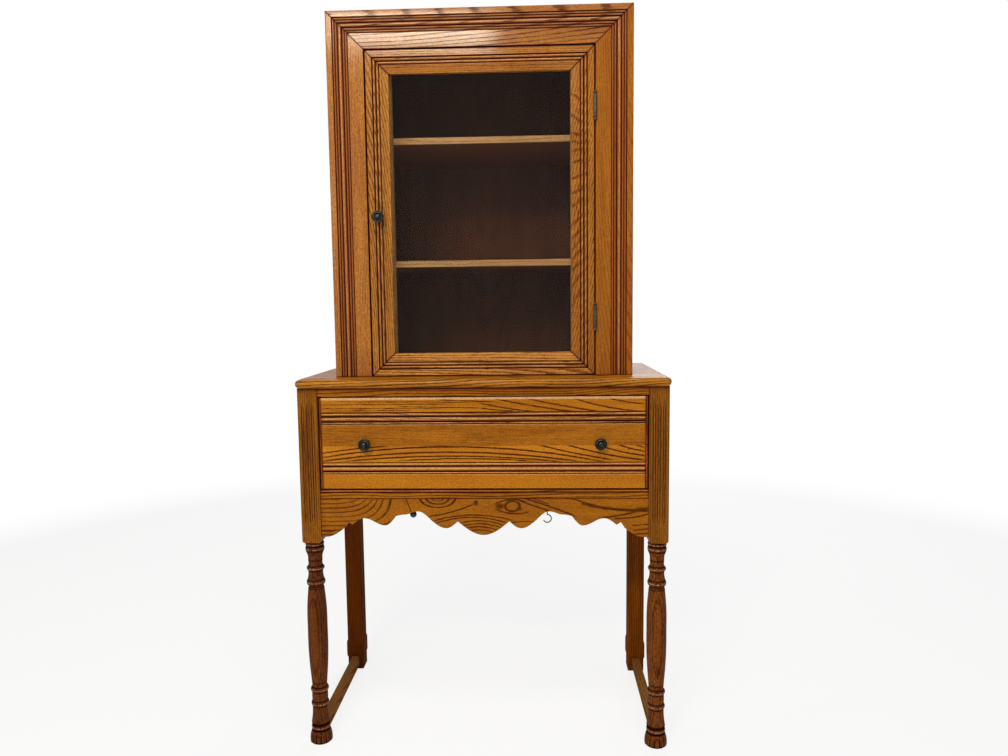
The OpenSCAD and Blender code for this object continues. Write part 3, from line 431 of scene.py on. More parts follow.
def doorSection(thick):
    band, reeds, r = doorMoulding["band"], doorMoulding["reeds"], doorMoulding["round"]
    width, nose = doorMoulding["width"], doorMoulding["nose"]
    rebate, rebateDepth = doorMoulding["rebate"], doorMoulding["rebateDepth"]
    flat = band + sum(reeds) + groove["width"]
    return (plain([(0, thick)]) + plain(arc((r, r), r, 180, 270, 3), 0.8) + [(1.9, 0, 0)] + bandEdge(band)
            + reedPoints(band, reeds, doorMoulding["wornAndSheen"], (-1, -1))
            + [(flat, groove["depth"], 1), (flat, 1.2, 0.6), (flat + 0.6, 0.6, 0.1), (flat + 5, 0.6, 0),
               (flat + 5.6, 1, 0.5), (flat + 6.4, 1.1, 0.1), (width - nose, 2.5, 0)]
            + plain(arc((width - nose, 4.2), nose, -80, 0, 4))
            + [(width, rebateDepth, 0.3), (rebate, rebateDepth, 0), (rebate, thick, 0)])


drawerMoulding = {"panel": 88, "reeds": [8.7, 13.0, 4.7], "wornAndSheen": 0.6, "round": 2.5, "endBead": 4.5}


def drawerSection(height, thick):
    panel, reeds, r = drawerMoulding["panel"], drawerMoulding["reeds"], drawerMoulding["round"]
    flat = (height - panel) / 2
    band = flat - sum(reeds) - groove["width"]
    upper, lower = (reedPoints(start, reeds, drawerMoulding["wornAndSheen"], (-1, -1, -1)) for start in (
        band, flat + panel))
    # a painted highlight runs along the rounded top edge
    return (plain([(0, thick)]) + plain(arc((r, r), r, 180, 270, 4), -1.0) + [(4.6, 0, -1.0), (5.6, 0, 0)]
            + bandEdge(band) + upper + brightRise(flat)
            + [(flat + panel - 0.6, 0, 0), (flat + panel, 0.8, 0.6), (flat + panel, groove["depth"], 1)]
            + lower + brightRise(height - band)
            + [(height - 2, 0, 0), (height - 0.6, 0.5, 0), (height, 2, 0.1), (height, thick, 0.2)])


joint = {"rows": [0, 0.7, 2, 5], "pitch": 30, "stain": 0.9, "stainReach": 3, "chamferReach": 0.7}


def moulding(name, section, start, along, inward, length, slopes, nodes, material, gap=0.2, chamfer=0.5):
    along, inward, back = Vector(along), Vector(inward), Vector((0, 1, 0))
    ends = joint["rows"]
    steps = max(2, int(length / joint["pitch"]))
    thick = max(d for u, d, s in section)
    rings, stains = [], []

    def ring(placeOf, shade, sink):
        points = []
        for u, d, s in section:
            face = d if d > thick * 0.6 else d + sink  # the chamfer leaves the back alone
            points.append(Vector(start) + along * placeOf(u) + inward * u + back * face)
            stains.append(s + shade * (1 - s))
        rings.append(points)

    def fromStart(u, off):
        return slopes[0] * u + gap + off

    def fromEnd(u, off):
        return length - slopes[1] * u - gap - off

    def between(u, share):
        return fromStart(u, ends[-1]) + (fromEnd(u, ends[-1]) - fromStart(u, ends[-1])) * share

    def shadeAt(off):
        return joint["stain"] * max(0, 1 - off / joint["stainReach"])

    def sinkAt(off):
        return chamfer * max(0, 1 - off / joint["chamferReach"])

    for off in ends:
        ring(lambda u: fromStart(u, off), shadeAt(off), sinkAt(off))
    for i in range(1, steps):
        ring(lambda u: between(u, i / steps), 0, 0)
    for off in reversed(ends):
        ring(lambda u: fromEnd(u, off), shadeAt(off), sinkAt(off))
    piece(name, loft(rings, along.cross(inward).y > 0), nodes, material, stains)


# Boards: a box whose edges are all eased

def board(name, node, material, ease=1.0, paintedUnderShade=0.0):  # how dark the painted shade on a board's underside is
    low, high = boxOf(node)
    shape = easedBox(low, high, ease)
    shades = [paintedUnderShade if point[2] < low[2] + 0.01 else 0.0 for point in shape[0]]
    piece(name, shape, [node], material, shades)


def easedBox(low, high, ease):
    middle = [(low[i] + high[i]) / 2 for i in range(3)]
    half = [(high[i] - low[i]) / 2 for i in range(3)]
    shape = bmesh.new()
    bmesh.ops.create_cube(shape, size=2.0)
    for vertex in shape.verts:
        vertex.co = Vector([middle[i] + vertex.co[i] * half[i] for i in range(3)])
    bmesh.ops.bevel(shape, geom=list(shape.edges), offset=min(ease, min(half) * 0.6), segments=3,
                    profile=0.5, affect="EDGES")
    shape.verts.index_update()
    points = [vertex.co.copy() for vertex in shape.verts]
    faces = [tuple(vertex.index for vertex in face.verts) for face in shape.faces]
    shape.free()
    return points, faces


print("upper case")

sides = {  # of a frame: the side its corner is on, the way along and the way inward
    "left": (-1, up, right), "right": (1, up, left), "top": (-1, right, down), "bottom": (-1, right, up)}


def mitredFrame(low, high, half, members, shared, seed):  # low and high are the box of its left stile
    for index, (name, node, side, slopes, section, look) in enumerate(members):
        end, along, inward = sides[side]
        corner = (end * half, low[1], high[2] if side == "top" else low[2])
        length = high[2] - low[2] if along == up else 2 * half
        moulding(name, section, corner, along, inward, length, slopes, [node],
                 oak(name, seed=seed + index, **{**shared, **look}))


low, high = boxOf("left_face_stile")
half = boxOf("right_face_stile")[1][0]
section = frameSection(high[1] - low[1], frameMoulding["stileTint"])
railSection = frameSection(high[1] - low[1], frameMoulding["railTint"])
stileLook = {"grain": "z", "warp": 4, "pores": 0.6, "flecks": 0.5, "warmStain": (112, 42, 22),
             "stain": (58, 18, 8)}
mitredFrame(low, high, half, [  # piece, node, side, slopes of its ends, section, look
    ("face_stile_left", "left_face_stile", "left", (0, 1), section, {
        **stileLook, "pith": (-700, -90), "drift": (0.01, 0.02), "ringWidth": 3.6, "ringShade": 0.3,
        "light": (194, 129, 52), "mid": (166, 105, 42), "coat": 0.2}),
    # the right stile's lighter worn tone paints stronger highlights on its reeds, which the lamps light less
    ("face_stile_right", "right_face_stile", "right", (0, 1), section, {
        **stileLook, "pith": (362, 70), "drift": (0.0, -0.1), "ringWidth": 5, "ringShade": 0.32,
        "ringFade": 0.35, "light": (176, 111, 22), "mid": (146, 86, 14), "wornAndSheen": (240, 194, 140),
        "warmStain": (128, 56, 30)}),
    ("face_rail_top", "top_face_rail", "top", (1, 1), railSection, {
        "pith": (1689, -60), "drift": (0.0, 0.065), "ringWidth": 6, "warp": 6, "ringFade": 0.36,
        "light": (170, 108, 44), "mid": (142, 86, 32), "coat": 0.36})], {}, 1)

print("door")

low, high = boxOf("door_left_stile")
section = doorSection(high[1] - low[1])
crossGrain = [(z, 207, z + rise, 228, 0, width) for z, rise, width in (  # over the inner flat of its stile
    (1509, -13, 9), (1464, -20, 7), (1424, -9, 13), (1406, -9, 12), (1380, 8, 14), (1355, 8, 14),
    (1319, 11, 13), (1286, 12, 12), (1257, 18, 9), (1216, 20, 8), (1185, 22, 7), (1160, 25, 6),
    (1138, 25, 6), (1114, 24, 6), (1076, 33, 5), (1031, 45, 4.5))]
doorLook = {"ringWidth": 4.6, "warp": 5, "ringShade": 0.75, "ragged": 0.6, "light": (184, 118, 42),
            "mid": (152, 94, 32)}
mitredFrame(low, high, -low[0], [
    ("door_stile_left", "door_left_stile", "left", (1, 1), section, {
        "grain": "z", "pith": (-316, 59), "drift": (0.0, -0.2), "ringWidth": 4.8, "ringShade": 0.6,
        "ragged": 0.45, "warp": 3, "light": (192, 130, 54), "mid": (160, 104, 42)}),
    ("door_stile_right", "door_right_stile", "right", (1, 1), section, {
        "grain": "z", "pith": (-600, -50), "drift": (0.26, 0.0), "ringWidth": 6.8, "ringShade": 0.52,
        "ragged": 0.5, "warp": 18, "strokes": crossGrain}),
    ("door_rail_top", "door_top_rail", "top", (1, 1), section, {
        "pith": (1400, -90), "ringShade": 0.45, "coat": 0.32}),
    ("door_rail_bottom", "door_bottom_rail", "bottom", (1, 1), section, {
        "pith": (860, -90), "drift": (0.03, 0.06), "ringShade": 0.6, "light": (224, 158, 74),
        "mid": (190, 126, 58), "wornAndSheen": (236, 188, 132)})], doorLook, 4)

print("drawer")

low, high = boxOf("drawer_front")
height, thick = high[2] - low[2], high[1] - low[1]
length = high[0] - low[0] - 2 * drawerMoulding["endBead"]
corner = (low[0] + drawerMoulding["endBead"], low[1], high[2])
section = drawerSection(height, thick)
panelStart = (height - drawerMoulding["panel"]) / 2
bandEnd = panelStart - sum(drawerMoulding["reeds"]) - groove["width"] + 0.01
glueLine = height / 2 + 6  # the panel is glued up from a brown board and one with arches

upperStrokes = (
    (-4, 817, 113, 798, -2.3, 2.4), (-4, 806, 71, 799, -1.4, 2.2), (37, 825, 217, 795, -1.8, 2.6),
    (109, 825, 260, 797, -1.1, 2.7), (215, 824, 362, 796, -4.5, 2.7), (291, 825, 362, 813, -1.1, 2.3),
    (-95, 825, 41, 819, 0, 1.7), (-365, 815, -83, 815, 0, 1.4), (-366, 806, -95, 805, 0, 1.4),
    (-324, 822, -27, 819, 0, 1.3), (-347, 801, -164, 801, 0, 1.2), (-186, 810, 0, 806, 0, 1.6))
archStrokes = (
    (-374, 692, 266, 683, 29.5, 2.8), (-370, 684, 221, 682, 21.6, 2.7), (-316, 684, 176, 682, 12.5, 2.4),
    (-189, 685, 108, 684, 5.2, 2.2), (-374, 702, -223, 718, 2.3, 2.4), (115, 724, 289, 687, -2.3, 2.6),
    (181, 724, 368, 685, -4.5, 2.8), (266, 718, 368, 695, -2.3, 2.6), (291, 727, 367, 705, -2.3, 2.6),
    (329, 727, 367, 714, -0.7, 2.4), (352, 728, 367, 722, 0, 2.3))
drawerBoards = [  # name, from and to below the top, look
    ("upper", 0, bandEnd, {
        "pith": (1400, -60), "drift": (-0.02, 0.03), "warp": 3, "ringWidth": 3, "ringReach": noRings,
        "pores": 0.6, "light": (200, 128, 20), "mid": (168, 102, 12), "strokes": upperStrokes}),
    ("reeded", bandEnd, panelStart, {
        "pith": (500, -50), "drift": (0.01, 0.03), "ringShade": 0.6, "light": (192, 124, 24),
        "mid": (160, 98, 14)}),
    ("brown", panelStart, glueLine, {
        "pith": (1200, -60), "warp": 5, "ringWidth": 3.4, "ringShade": 0.28, "light": (184, 115, 20),
        "mid": (154, 92, 14)}),
    ("arched", glueLine, height - bandEnd, {
        "pith": (1400, -60), "drift": (-0.02, 0.02), "warp": 2, "ringWidth": 3, "ringReach": noRings,
        "ringShade": 0.95, "pores": 0.4, "light": (208, 134, 26), "mid": (174, 106, 16),
        "strokes": archStrokes}),
    ("plain", height - bandEnd, height, {
        "pith": (1300, -60), "warp": 4, "ringWidth": 3, "ringShade": 0.16, "pores": 0.35,
        "light": (202, 127, 20), "mid": (184, 111, 14)}),
]
for index, (name, first, last, look) in enumerate(drawerBoards):
    inside = [point for point in section if first <= point[0] <= last and point[1] < thick / 2]
    strip = [(first, thick, 0)] + inside + [(last, thick, 0)]
    if first > 0 and inside[0][0] > first:
        strip.insert(1, (first, 0 if name == "arched" else groove["depth"], 0))
    if last < height and inside[-1][0] < last:
        strip.insert(-1, (last, 0 if name == "brown" else groove["depth"], 0))
    moulding("drawer_front_" + name, strip, corner, right, down, length, (0, 0), ["drawer_front"],
             oak("drawer front " + name, seed=40 + index, **look), gap=0.1, chamfer=0.3)

print("corner posts")

postFlutes = {
    "count": 3, "radius": 4.0, "depth": 2.0, "pitch": 11.0, "tip": 24.0, "above": 27.0, "below": 38.0,
    "footRound": 6.0, "corner": 1.2,
    "stains": (-0.4, -0.2, 0.5, 1.0, 0.0),  # from the middle of a flute to its side
    "topPaintedShadow": 0.8, "topPaintedShadowReach": 9}


def cornerPost(name, node, material):
    f = postFlutes
    low, high = boxOf(node)
    middle = (low[0] + high[0]) / 2
    halfWidth = (high[0] - low[0]) / 2
    fluteLow, fluteHigh = low[2] + f["below"], high[2] - f["above"]
    rest = f["radius"] - f["depth"]

    def ring(z):
        fromFoot = min(f["footRound"], z - low[2])
        pull = f["footRound"] - math.sqrt(f["footRound"] ** 2 - (f["footRound"] - fromFoot) ** 2)
        start, end, front = middle - (halfWidth - pull), middle + (halfWidth - pull), low[1]
        opening = min(1, max(0, (z - fluteLow) / f["tip"]), max(0, (fluteHigh - z) / f["tip"]))
        radius = rest + f["depth"] * opening
        fluteHalf = max(0.7, math.sqrt(max(0, radius ** 2 - rest ** 2)))
        corner = arc((f["corner"], f["corner"]), f["corner"], 180, 270, 3)
        points = [(start + x, front + y, 0) for x, y in corner]
        for i in range(f["count"]):
            centre = middle + (i - (f["count"] - 1) / 2) * f["pitch"]
            for k in range(-4, 5):
                x = fluteHalf * (k / 4 if abs(k) != 3 else math.copysign(0.8, k))
                sink = max(0, math.sqrt(max(0, radius ** 2 - x * x)) - rest)
                points.append((centre + x, front + sink, f["stains"][abs(k)] * min(1, 1.5 * opening)))
        points += [(end - x, front + y, 0) for x, y in reversed(corner)]
        points += [(end, high[1], 0), (start, high[1], 0)]
        # a painted shadow under the top board darkens the top of the post
        shade = f["topPaintedShadow"] * max(0, 1 - (high[2] - z) / f["topPaintedShadowReach"])
        return [(x, y, z) for x, y, s in points], [s + shade * (1 - s) for x, y, s in points]

    heights = [low[2] + h for h in (0, 0.3, 1, 2, 3.5, 6, 20)]
    heights += [fluteLow + f["tip"] * i / 8 for i in range(9)]
    heights += [fluteLow + f["tip"] + (fluteHigh - fluteLow - 2 * f["tip"]) * i / 10 for i in range(1, 10)]
    heights += [fluteHigh - f["tip"] * (8 - i) / 8 for i in range(9)] + [high[2] - 9, high[2] - 4, high[2]]
    rings, stains = zip(*[ring(z) for z in heights])
    piece(name, loft(rings, True), [node], material, [stain for row in stains for stain in row])


postLook = {"grain": "z", "pith": (0, -130), "warp": 0.6, "ringWidth": 5, "ringShade": 0.5, "ragged": 0.5,
            "light": (158, 98, 16), "mid": (126, 70, 8), "dark": (52, 20, 0),
            "warmStain": (84, 40, 8), "wornAndSheen": (186, 132, 70)}
for seed, side in ((9, "left"), (10, "right")):
    cornerPost("corner_post_" + side, side + "_front_post", oak("post " + side, seed=seed, **postLook))

print("turned legs")

leg = {"vase": 23, "vaseEnd": 18, "collar": 22, "neck": 16.2, "ring": 20.8, "waist": 17.8, "ankle": 21.6,
       "hoof": 26.5, "hoofHeight": 31, "around": 80, "toes": 6, "toeAngle": 27, "toeDepth": 1.9,
       "toeWidth": 2.6, "toeFade": 2.2, "toeSwell": 0.4, "toeStain": 0.6, "paintedCreaseShade": 0.9, "paintedCreaseReach": 2.2,
       "paintedCrestGlint": -0.8}


def legOutline(top):  # rows of radius, height and stain
    ankle, waist, ring, neck, vaseEnd = leg["ankle"], leg["waist"], leg["ring"], leg["neck"], leg["vaseEnd"]
    hoof, collar = leg["hoof"], leg["collar"]
    foot = [  # height, radius below, radius above, bulge
        (2, hoof - 3, hoof - 1, 0), (leg["hoofHeight"] - 2, hoof - 0.8, ankle, 1.6),
        (1.2, ankle - 1.4, ankle - 1.4, 0), (11, ankle - 0.8, ankle - 0.8, 1.2),
        (1.2, ankle - 2.8, ankle - 2.8, 0), (3.4, ankle - 2.6, ankle, 0), (42, ankle, waist + 0.4, -1),
        (12, waist + 1, waist + 1, ring - waist - 1), (23, waist + 0.4, waist + 0.4, 0.5),
        (12, waist + 1, waist + 1, ring - waist - 0.6), (11, waist - 0.4, vaseEnd, -0.4)]
    head = [
        (5, vaseEnd + 0.8, waist - 0.6, 0), (4, waist - 0.6, waist + 0.6, 0), (12, ring - 0.6, ring - 1, 1.7),
        (22, ring - 1.4, waist - 0.6, -1.1), (11, waist, waist, ring - waist),
        (14, neck + 0.4, neck + 0.4, -0.5), (22, neck + 0.4, collar - 1, -1.6),
        (11, collar - 1.2, collar - 1.2, 1.2), (1.6, collar - 2.6, collar - 2.6, 0),
        (8, collar - 1.4, collar - 1.4, 1.0), (2.4, collar - 3.5, collar - 3.5, 0)]
    rest = top - sum(row[0] for row in foot + head)
    swell = (leg["vase"] - vaseEnd) * 0.4
    vase = [(rest * 0.59, vaseEnd, leg["vase"], swell),
            (rest * 0.41, leg["vase"], vaseEnd + 0.8, swell * 0.8)]
    outline, z = [], 0
    for height, first, last, bulge in foot + vase + head:
        steps = 2 if bulge == 0 else 14 if height > 30 else 8
        for i in range(steps + 1):
            t = i / steps
            stain = 0
            if height < 3:  # painted shade: a fillet all over, a ring or cove at both ends, the vase nowhere
                stain = 1.0
            elif height < 60:
                stain = leg["paintedCreaseShade"] * max(0, 1 - min(t, 1 - t) * height / leg["paintedCreaseReach"])
            # a painted glint along the crest of each small ring
            if bulge > 0.9 and height < 15 and abs(t - 0.5) < 0.1:
                stain += leg["paintedCrestGlint"]
            radius = first + (last - first) * t + bulge * math.sin(math.pi * t)
            outline.append((radius, z + height * (0.02 + 0.96 * t), stain))
        z += height
    return outline


def turnedLeg(name, node, material):
    low, high = boxOf(node)
    middle = ((low[0] + high[0]) / 2, (low[1] + high[1]) / 2)
    postFoot = boxOf(node.replace("leg", "post"))[0][2]
    rings, stains = [], []
    for radius, z, stain in legOutline(postFoot - 0.1):
        points = []
        for i in range(leg["around"]):
            angle = 2 * math.pi * i / leg["around"]
            fromFront = math.degrees((angle + math.pi / 2 + math.pi) % (2 * math.pi) - math.pi)
            cut, foot = 0, 0
            if z < leg["hoofHeight"]:
                foot = min(1, z / 2) * (1 - z / leg["hoofHeight"])
                toe = fromFront / leg["toeAngle"] + (leg["toes"] - 1) / 2
                if -0.5 <= toe <= leg["toes"] - 0.5:
                    away = abs(toe - round(toe)) * leg["toeAngle"]
                    cut = leg["toeDepth"] * math.exp(-(away / leg["toeWidth"]) ** 2)
                    cut *= min(1, foot * leg["toeFade"])
            r = min(radius - cut + leg["toeSwell"] * foot, leg["hoof"] + 0.5)
            points.append((middle[0] + r * math.cos(angle), middle[1] + r * math.sin(angle), z))
            stains.append(min(1, stain + leg["toeStain"] * cut))
        rings.append(points)
    piece(name, loft(rings), [node], material, stains, 30, False)


# the light worn tone of the legs paints glints on their ring crests
legLook = {"grain": "z", "light": (122, 64, 6), "mid": (94, 44, 3), "dark": (36, 12, 0),
           "warmStain": (66, 26, 2), "stain": (14, 4, 0), "wornAndSheen": (222, 178, 138), "gloss": 0.35,
           "shine": 0.0, "coat": 0.2, "coatGloss": 0.06, "ringWidth": 3.4, "pores": 0.9, "ringShade": 0.5,
           "warp": 1.2, "drift": (0.0, 0.0), "ragged": 0.9, "ringFade": 0.6, "flecks": 0.6}
legSides = {
    "left": {"pith": (-380, -20), "seed": 12},
    "right": {"pith": (402, 10), "seed": 13, "light": (144, 78, 8), "mid": (112, 55, 4)}}
for side, look in legSides.items():
    turnedLeg("turned_leg_" + side, side + "_front_leg", oak("leg " + side, **{**legLook, **look}))

print("apron and rails")

easing = {
    "wave": lambda t: (1 - math.cos(math.pi * t)) / 2,
    "slow": lambda t: 1 - math.cos(math.pi * t / 2),
    "quick": lambda t: math.sin(math.pi * t / 2),
    "line": lambda t: t}
apronShape = {
    "low": 510, "thick": 18, "ease": 1.2,
    "edge": [  # from the middle out: place, height over low, and how it goes on
        (0, 0, "slow"), (59.5, 32, "quick"), (86.5, 16, "slow"), (121, 35, "quick"), (151.5, 55.5, "wave"),
        (183, 48, "slow"), (201, 45, "slow"), (206, 40, "quick"), (228, 22.5, "wave"), (276, 39.5, "slow"),
        (304.5, 24, "line"), (314.5, 30.5, "line"), (323, 17, "quick"), (366, -4.5, "line")]}


def scallops(side):
    points = []
    for first, last in zip(apronShape["edge"], apronShape["edge"][1:]):
        for k in range(8):
            t = k / 8
            height = first[1] + (last[1] - first[1]) * easing[first[2]](t)
            points.append((side * (first[0] + (last[0] - first[0]) * t), apronShape["low"] + height))
    return points


def edged(outline, front, thick, ease):  # a board cut to an outline, its front edge eased
    count = len(outline)

    def inset(amount):
        moved = []
        for i in range(count):
            before, here, after = (Vector(outline[(i + k) % count]) for k in (-1, 0, 1))
            first, second = (here - before).normalized(), (after - here).normalized()
            normal = Vector((-(first + second).y, (first + second).x))
            normal = normal.normalized() / max(0.5, math.sqrt(max(0.0, (1 + first.dot(second)) / 2)))
            moved.append(here + normal * amount)
        return moved

    layers = [(0.0, ease), (ease * 0.15, ease * 0.45), (ease * 0.5, ease * 0.12), (ease, 0.0),
              (thick - 0.5, 0.0), (thick, 0.5)]
    return loft([[(p.x, front + depth, p.y) for p in inset(amount)] for depth, amount in layers])


low, high = boxOf("apron")
reach, edgeEnd = apronShape["edge"][-1][0], apronShape["low"] + apronShape["edge"][-1][1]
outline = ([(high[0], edgeEnd), (high[0], high[2]), (low[0], high[2]), (low[0], edgeEnd), (-reach, edgeEnd)]
           + list(reversed(scallops(-1)))[:-1] + scallops(1) + [(reach, edgeEnd)])
shape = edged(outline, low[1], apronShape["thick"], apronShape["ease"])
apronLook = {
    "light": (172, 106, 6), "mid": (150, 87, 2), "pith": (100, -40), "drift": (0.0, 0.01), "seed": 14,
    "ringWidth": 10, "ringFade": 0.4, "ringReach": (-200, -175), "ragged": 0.1, "warp": 1, "pores": 0.5,
    # the line at 597 is a painted shadow under the lower rail
    "paintedShadeLines": ((597, 2.4),), "figures": ((-198, 642, 68, 82, -9),),
    "eyes": ((-105, 599, 41, 24, 3), (67, 578, 17, 12, 1)),
    "spots": ((38, 578, 12, 9), (82, 572, 8, 6), (-17, 586, 6, 8), (232, 584, 9, 5), (362, 570, 20, 7),
              (-362, 520, 18, 4)),
    "strokes": (
        (-179, 598, -167, 567, 0, 5), (-126, 554, -22, 583, -4, 2.6), (-118, 543, 66, 545, 13, 2.3),
        (-110, 538, 50, 540, 13, 2.2), (-62, 536, 44, 534, 9, 2.2), (-58, 530, 40, 528, 8, 2.1),
        (-52, 523, 34, 521, 8, 2.1), (-40, 517, 22, 516, 6, 2.0), (60, 538, 118, 541, 3, 2.0),
        (66, 598, 154, 566, -1, 3.0), (92, 598, 210, 555, 1, 3.2), (110, 598, 150, 583, 0, 2.0),
        (184, 598, 236, 583, 3, 2.6), (228, 586, 378, 571, -7, 3.6), (232, 580, 378, 566, -4, 2.2),
        (272, 552, 378, 576, -5, 3.0), (300, 549, 378, 560, -3, 2.4), (340, 532, 378, 536, 0, 2.2),
        (342, 522, 378, 525, 0, 2.2), (344, 513, 378, 514, 0, 2.0), (26, 583, 98, 588, 8, 2.6),
        (28, 571, 104, 565, -7, 2.4))}
piece("scalloped_apron", shape, ["apron"], oak("apron", **apronLook), sharpAngle=45)

lowerRail = {"bead": 2.3, "beadSteps": 8, "sunk": 3.2}


def lowerRailSection(height, thick):  # a bead over a groove, with a painted highlight on the bead's crest and stain and painted shade at its sides
    r, sunk = lowerRail["bead"], lowerRail["sunk"]
    bead = [(u, d, 1.3 * abs(u / r - 1) - 0.5) for u, d in arc((r, r), r, 180, 360, lowerRail["beadSteps"])]
    return plain([(0, thick)]) + bead + [
        (2 * r, sunk, 1), (6.1, sunk, 1), (6.3, 0.8, 0.9), (6.9, 0.1, 0.2), (7.5, 0, 0), (height - 2.8, 0, 0),
        (height - 1.6, 0.3, 0), (height - 0.4, 1.2, 0), (height, 2.2, 0.8), (height, thick, 0.9)]


def upperRailSection(height, thick):  # flat, with a painted shadow under the top board and a painted highlight on its lower edge
    return [(0, thick, 0), (0, 0, 0.9), (2, 0, 0.75), (5, 0, 0.4), (9, 0, 0.05), (12, 0, 0),
            (height - 1.5, 0, 0), (height - 0.5, 0.3, -0.4), (height, 1, 0.3), (height, thick, 0)]


rails = [  # piece, node, section, look
    ("lower_rail", "case_lower_rail", lowerRailSection, {"pith": (900, -40), "seed": 15}),
    ("rail_over_drawer", "case_top_rail", upperRailSection, {
        "pith": (1000, -40), "seed": 30, "ringWidth": 5})]
for name, node, sectionOf, look in rails:
    low, high = boxOf(node)
    moulding(name, sectionOf(high[2] - low[2], high[1] - low[1]), (low[0], low[1], high[2]), right, down,
             high[0] - low[0], (0, 0), [node], oak(name, **look), gap=0.1, chamfer=0.3)

print("top board")

topEdge = {"corner": 15, "rows": 12, "cornerSteps": 8}


def frontRow(start, end, front, back, corner, steps, z):  # from the back left around the front
    turns = (arc((start + corner, front + corner), corner, 180, 270, steps)
             + arc((end - corner, front + corner), corner, 270, 360, steps))
    return [(x, y, z) for x, y in [(start, back)] + turns + [(end, back)]]


def topBoard(name, node, material):  # its edge is half round on the front and the ends
    low, high = boxOf(node)
    radius = (high[2] - low[2]) / 2
    rings = []
    for i in range(topEdge["rows"] + 1):
        angle = math.radians(-90 + 180 * i / topEdge["rows"])
        pull = radius * (1 - math.cos(angle))
        z = low[2] + radius * (1 + math.sin(angle))
        rings.append(frontRow(low[0] + pull, high[0] - pull, low[1] + pull, high[1],
                              topEdge["corner"] - pull, topEdge["cornerSteps"], z))
    piece(name, loft(rings), [node], material)


topBoard("table_board", "top_board", oak("top board", pith=(960, -150), drift=(0.02, 0.05), seed=16,
                                         light=(196, 128, 28), mid=(162, 101, 18), coat=0.22))

print("back legs and stretchers")

backLegShape = {
    "proud": 2.5, "corner": 1.5, "cornerSteps": 3,
    "rows": [  # height, how far the faces are drawn in from the shaft
        (0, 1.0), (1.2, 0.2), (3, 0), (35.8, 0), (37, -0.7), (39, -1.7), (42, -2.3), (46, -2.5), (76, -2.5),
        (81, -2.2), (84, -1.5), (86, -0.6), (87.5, 0)]}


def backLeg(name, node, material):
    low, high = boxOf(node)
    proud = backLegShape["proud"]
    rings = []
    for z, pull in backLegShape["rows"] + [(high[2] - 1, 0), (high[2], 0)]:
        rings.append(frontRow(low[0] + proud + pull, high[0] - proud - pull, low[1] + proud + pull, high[1],
                              backLegShape["corner"], backLegShape["cornerSteps"], z))
    piece(name, loft(rings), [node], material)


darkLook = {"grain": "z", "light": (104, 52, 4), "mid": (82, 38, 2), "dark": (38, 12, 0),
            "coat": 0.04, "shine": 0.0, "ringWidth": 4, "warp": 6}
backLegSides = {
    "left": {"seed": 17},
    "right": {"seed": 18, "light": (142, 78, 8), "mid": (112, 58, 4)}}
for side, look in backLegSides.items():
    backLeg("back_leg_" + side, side + "_back_leg", oak("back leg " + side, **{**darkLook, **look}))
stretcherLook = {"grain": "y", "seed": 19, "light": (156, 110, 60), "mid": (132, 88, 44),
                 "ringShade": 0.3, "coat": 0.0, "shine": 0.0, "gloss": 0.6}
for side in ("left", "right"):
    board("stretcher_" + side, side + "_stretcher", oak("stretcher " + side, **stretcherLook), 1.5)

print("knobs")

knob = {"radius": 14, "length": 26, "plate": 10, "around": 72, "neck": 18,
        "dirtyRings": ((0.44, 0.56), (0.76, 0.86))}  # as shares of the radius


def turnedKnobs(name, node, places):
    r, length, plate = knob["radius"], knob["length"], knob["plate"]
    outline = [  # radius, reach
        (0.01, 0), (plate, 0), (plate, 1.2), (plate - 0.4, 1.7), (plate - 1.6, 2.1), (plate - 2.2, 2.0),
        (plate - 3, 2.6), (5.2, 3.6), (4.6, 5), (4.5, 9), (5.2, 11.5), (7.5, 13.4), (11, 14.8), (13.2, 16.6),
        (r, 18.4), (r, 19.6), (13.7, 20.4), (13, 21), (12.2, 21.1), (11.5, 20.6), (11, 20.3), (10.5, 20.6),
        (10, 21.5), (9.2, 22.1), (8.2, 22.1), (7.5, 21.5), (7.1, 21.0), (6.6, 21.2), (6.2, 22.2),
        (5.8, 23.6), (5.2, 24.6), (4.2, 25.3), (2.8, 25.8), (1.4, length - 0.05), (0.01, length)]
    angles = [2 * math.pi * i / knob["around"] for i in range(knob["around"])]
    points, faces, stains = [], [], []
    for x, front, z in places:
        more, sides = loft([[(x + radius * math.cos(angle), front - reach, z + radius * math.sin(angle))
                             for angle in angles] for radius, reach in outline])
        faces += [tuple(index + len(points) for index in face) for face in sides]
        points += more
        for radius, reach in outline:
            inRing = any(r * low < radius < r * high for low, high in knob["dirtyRings"])
            stains += [float(inRing or reach < knob["neck"])] * len(angles)
    piece(name, (points, faces), [node], bronze, stains, 50, False)


low, high = boxOf("drawer_knobs")
turnedKnobs("turned_drawer_knobs", "drawer_knobs", [
    (x, high[1], (low[2] + high[2]) / 2) for x in (low[0] + knob["radius"], high[0] - knob["radius"])])
low, high = boxOf("door_knob")
turnedKnobs("turned_door_knob", "door_knob", [((low[0] + high[0]) / 2, high[1], (low[2] + high[2]) / 2)])

print("boards")

panelLook = {"ringShade": 0.6, "warp": 4, "ringWidth": 5.5, "ringFade": 0.4}
# its stain colour also gives the painted shade under the shelves
insideLook = {"light": (184, 148, 100), "mid": (162, 121, 74), "dark": (106, 70, 38), "shine": 0.1,
              "gloss": 0.5, "ringShade": 0.35, "coat": 0.0, "stain": (60, 34, 18)}
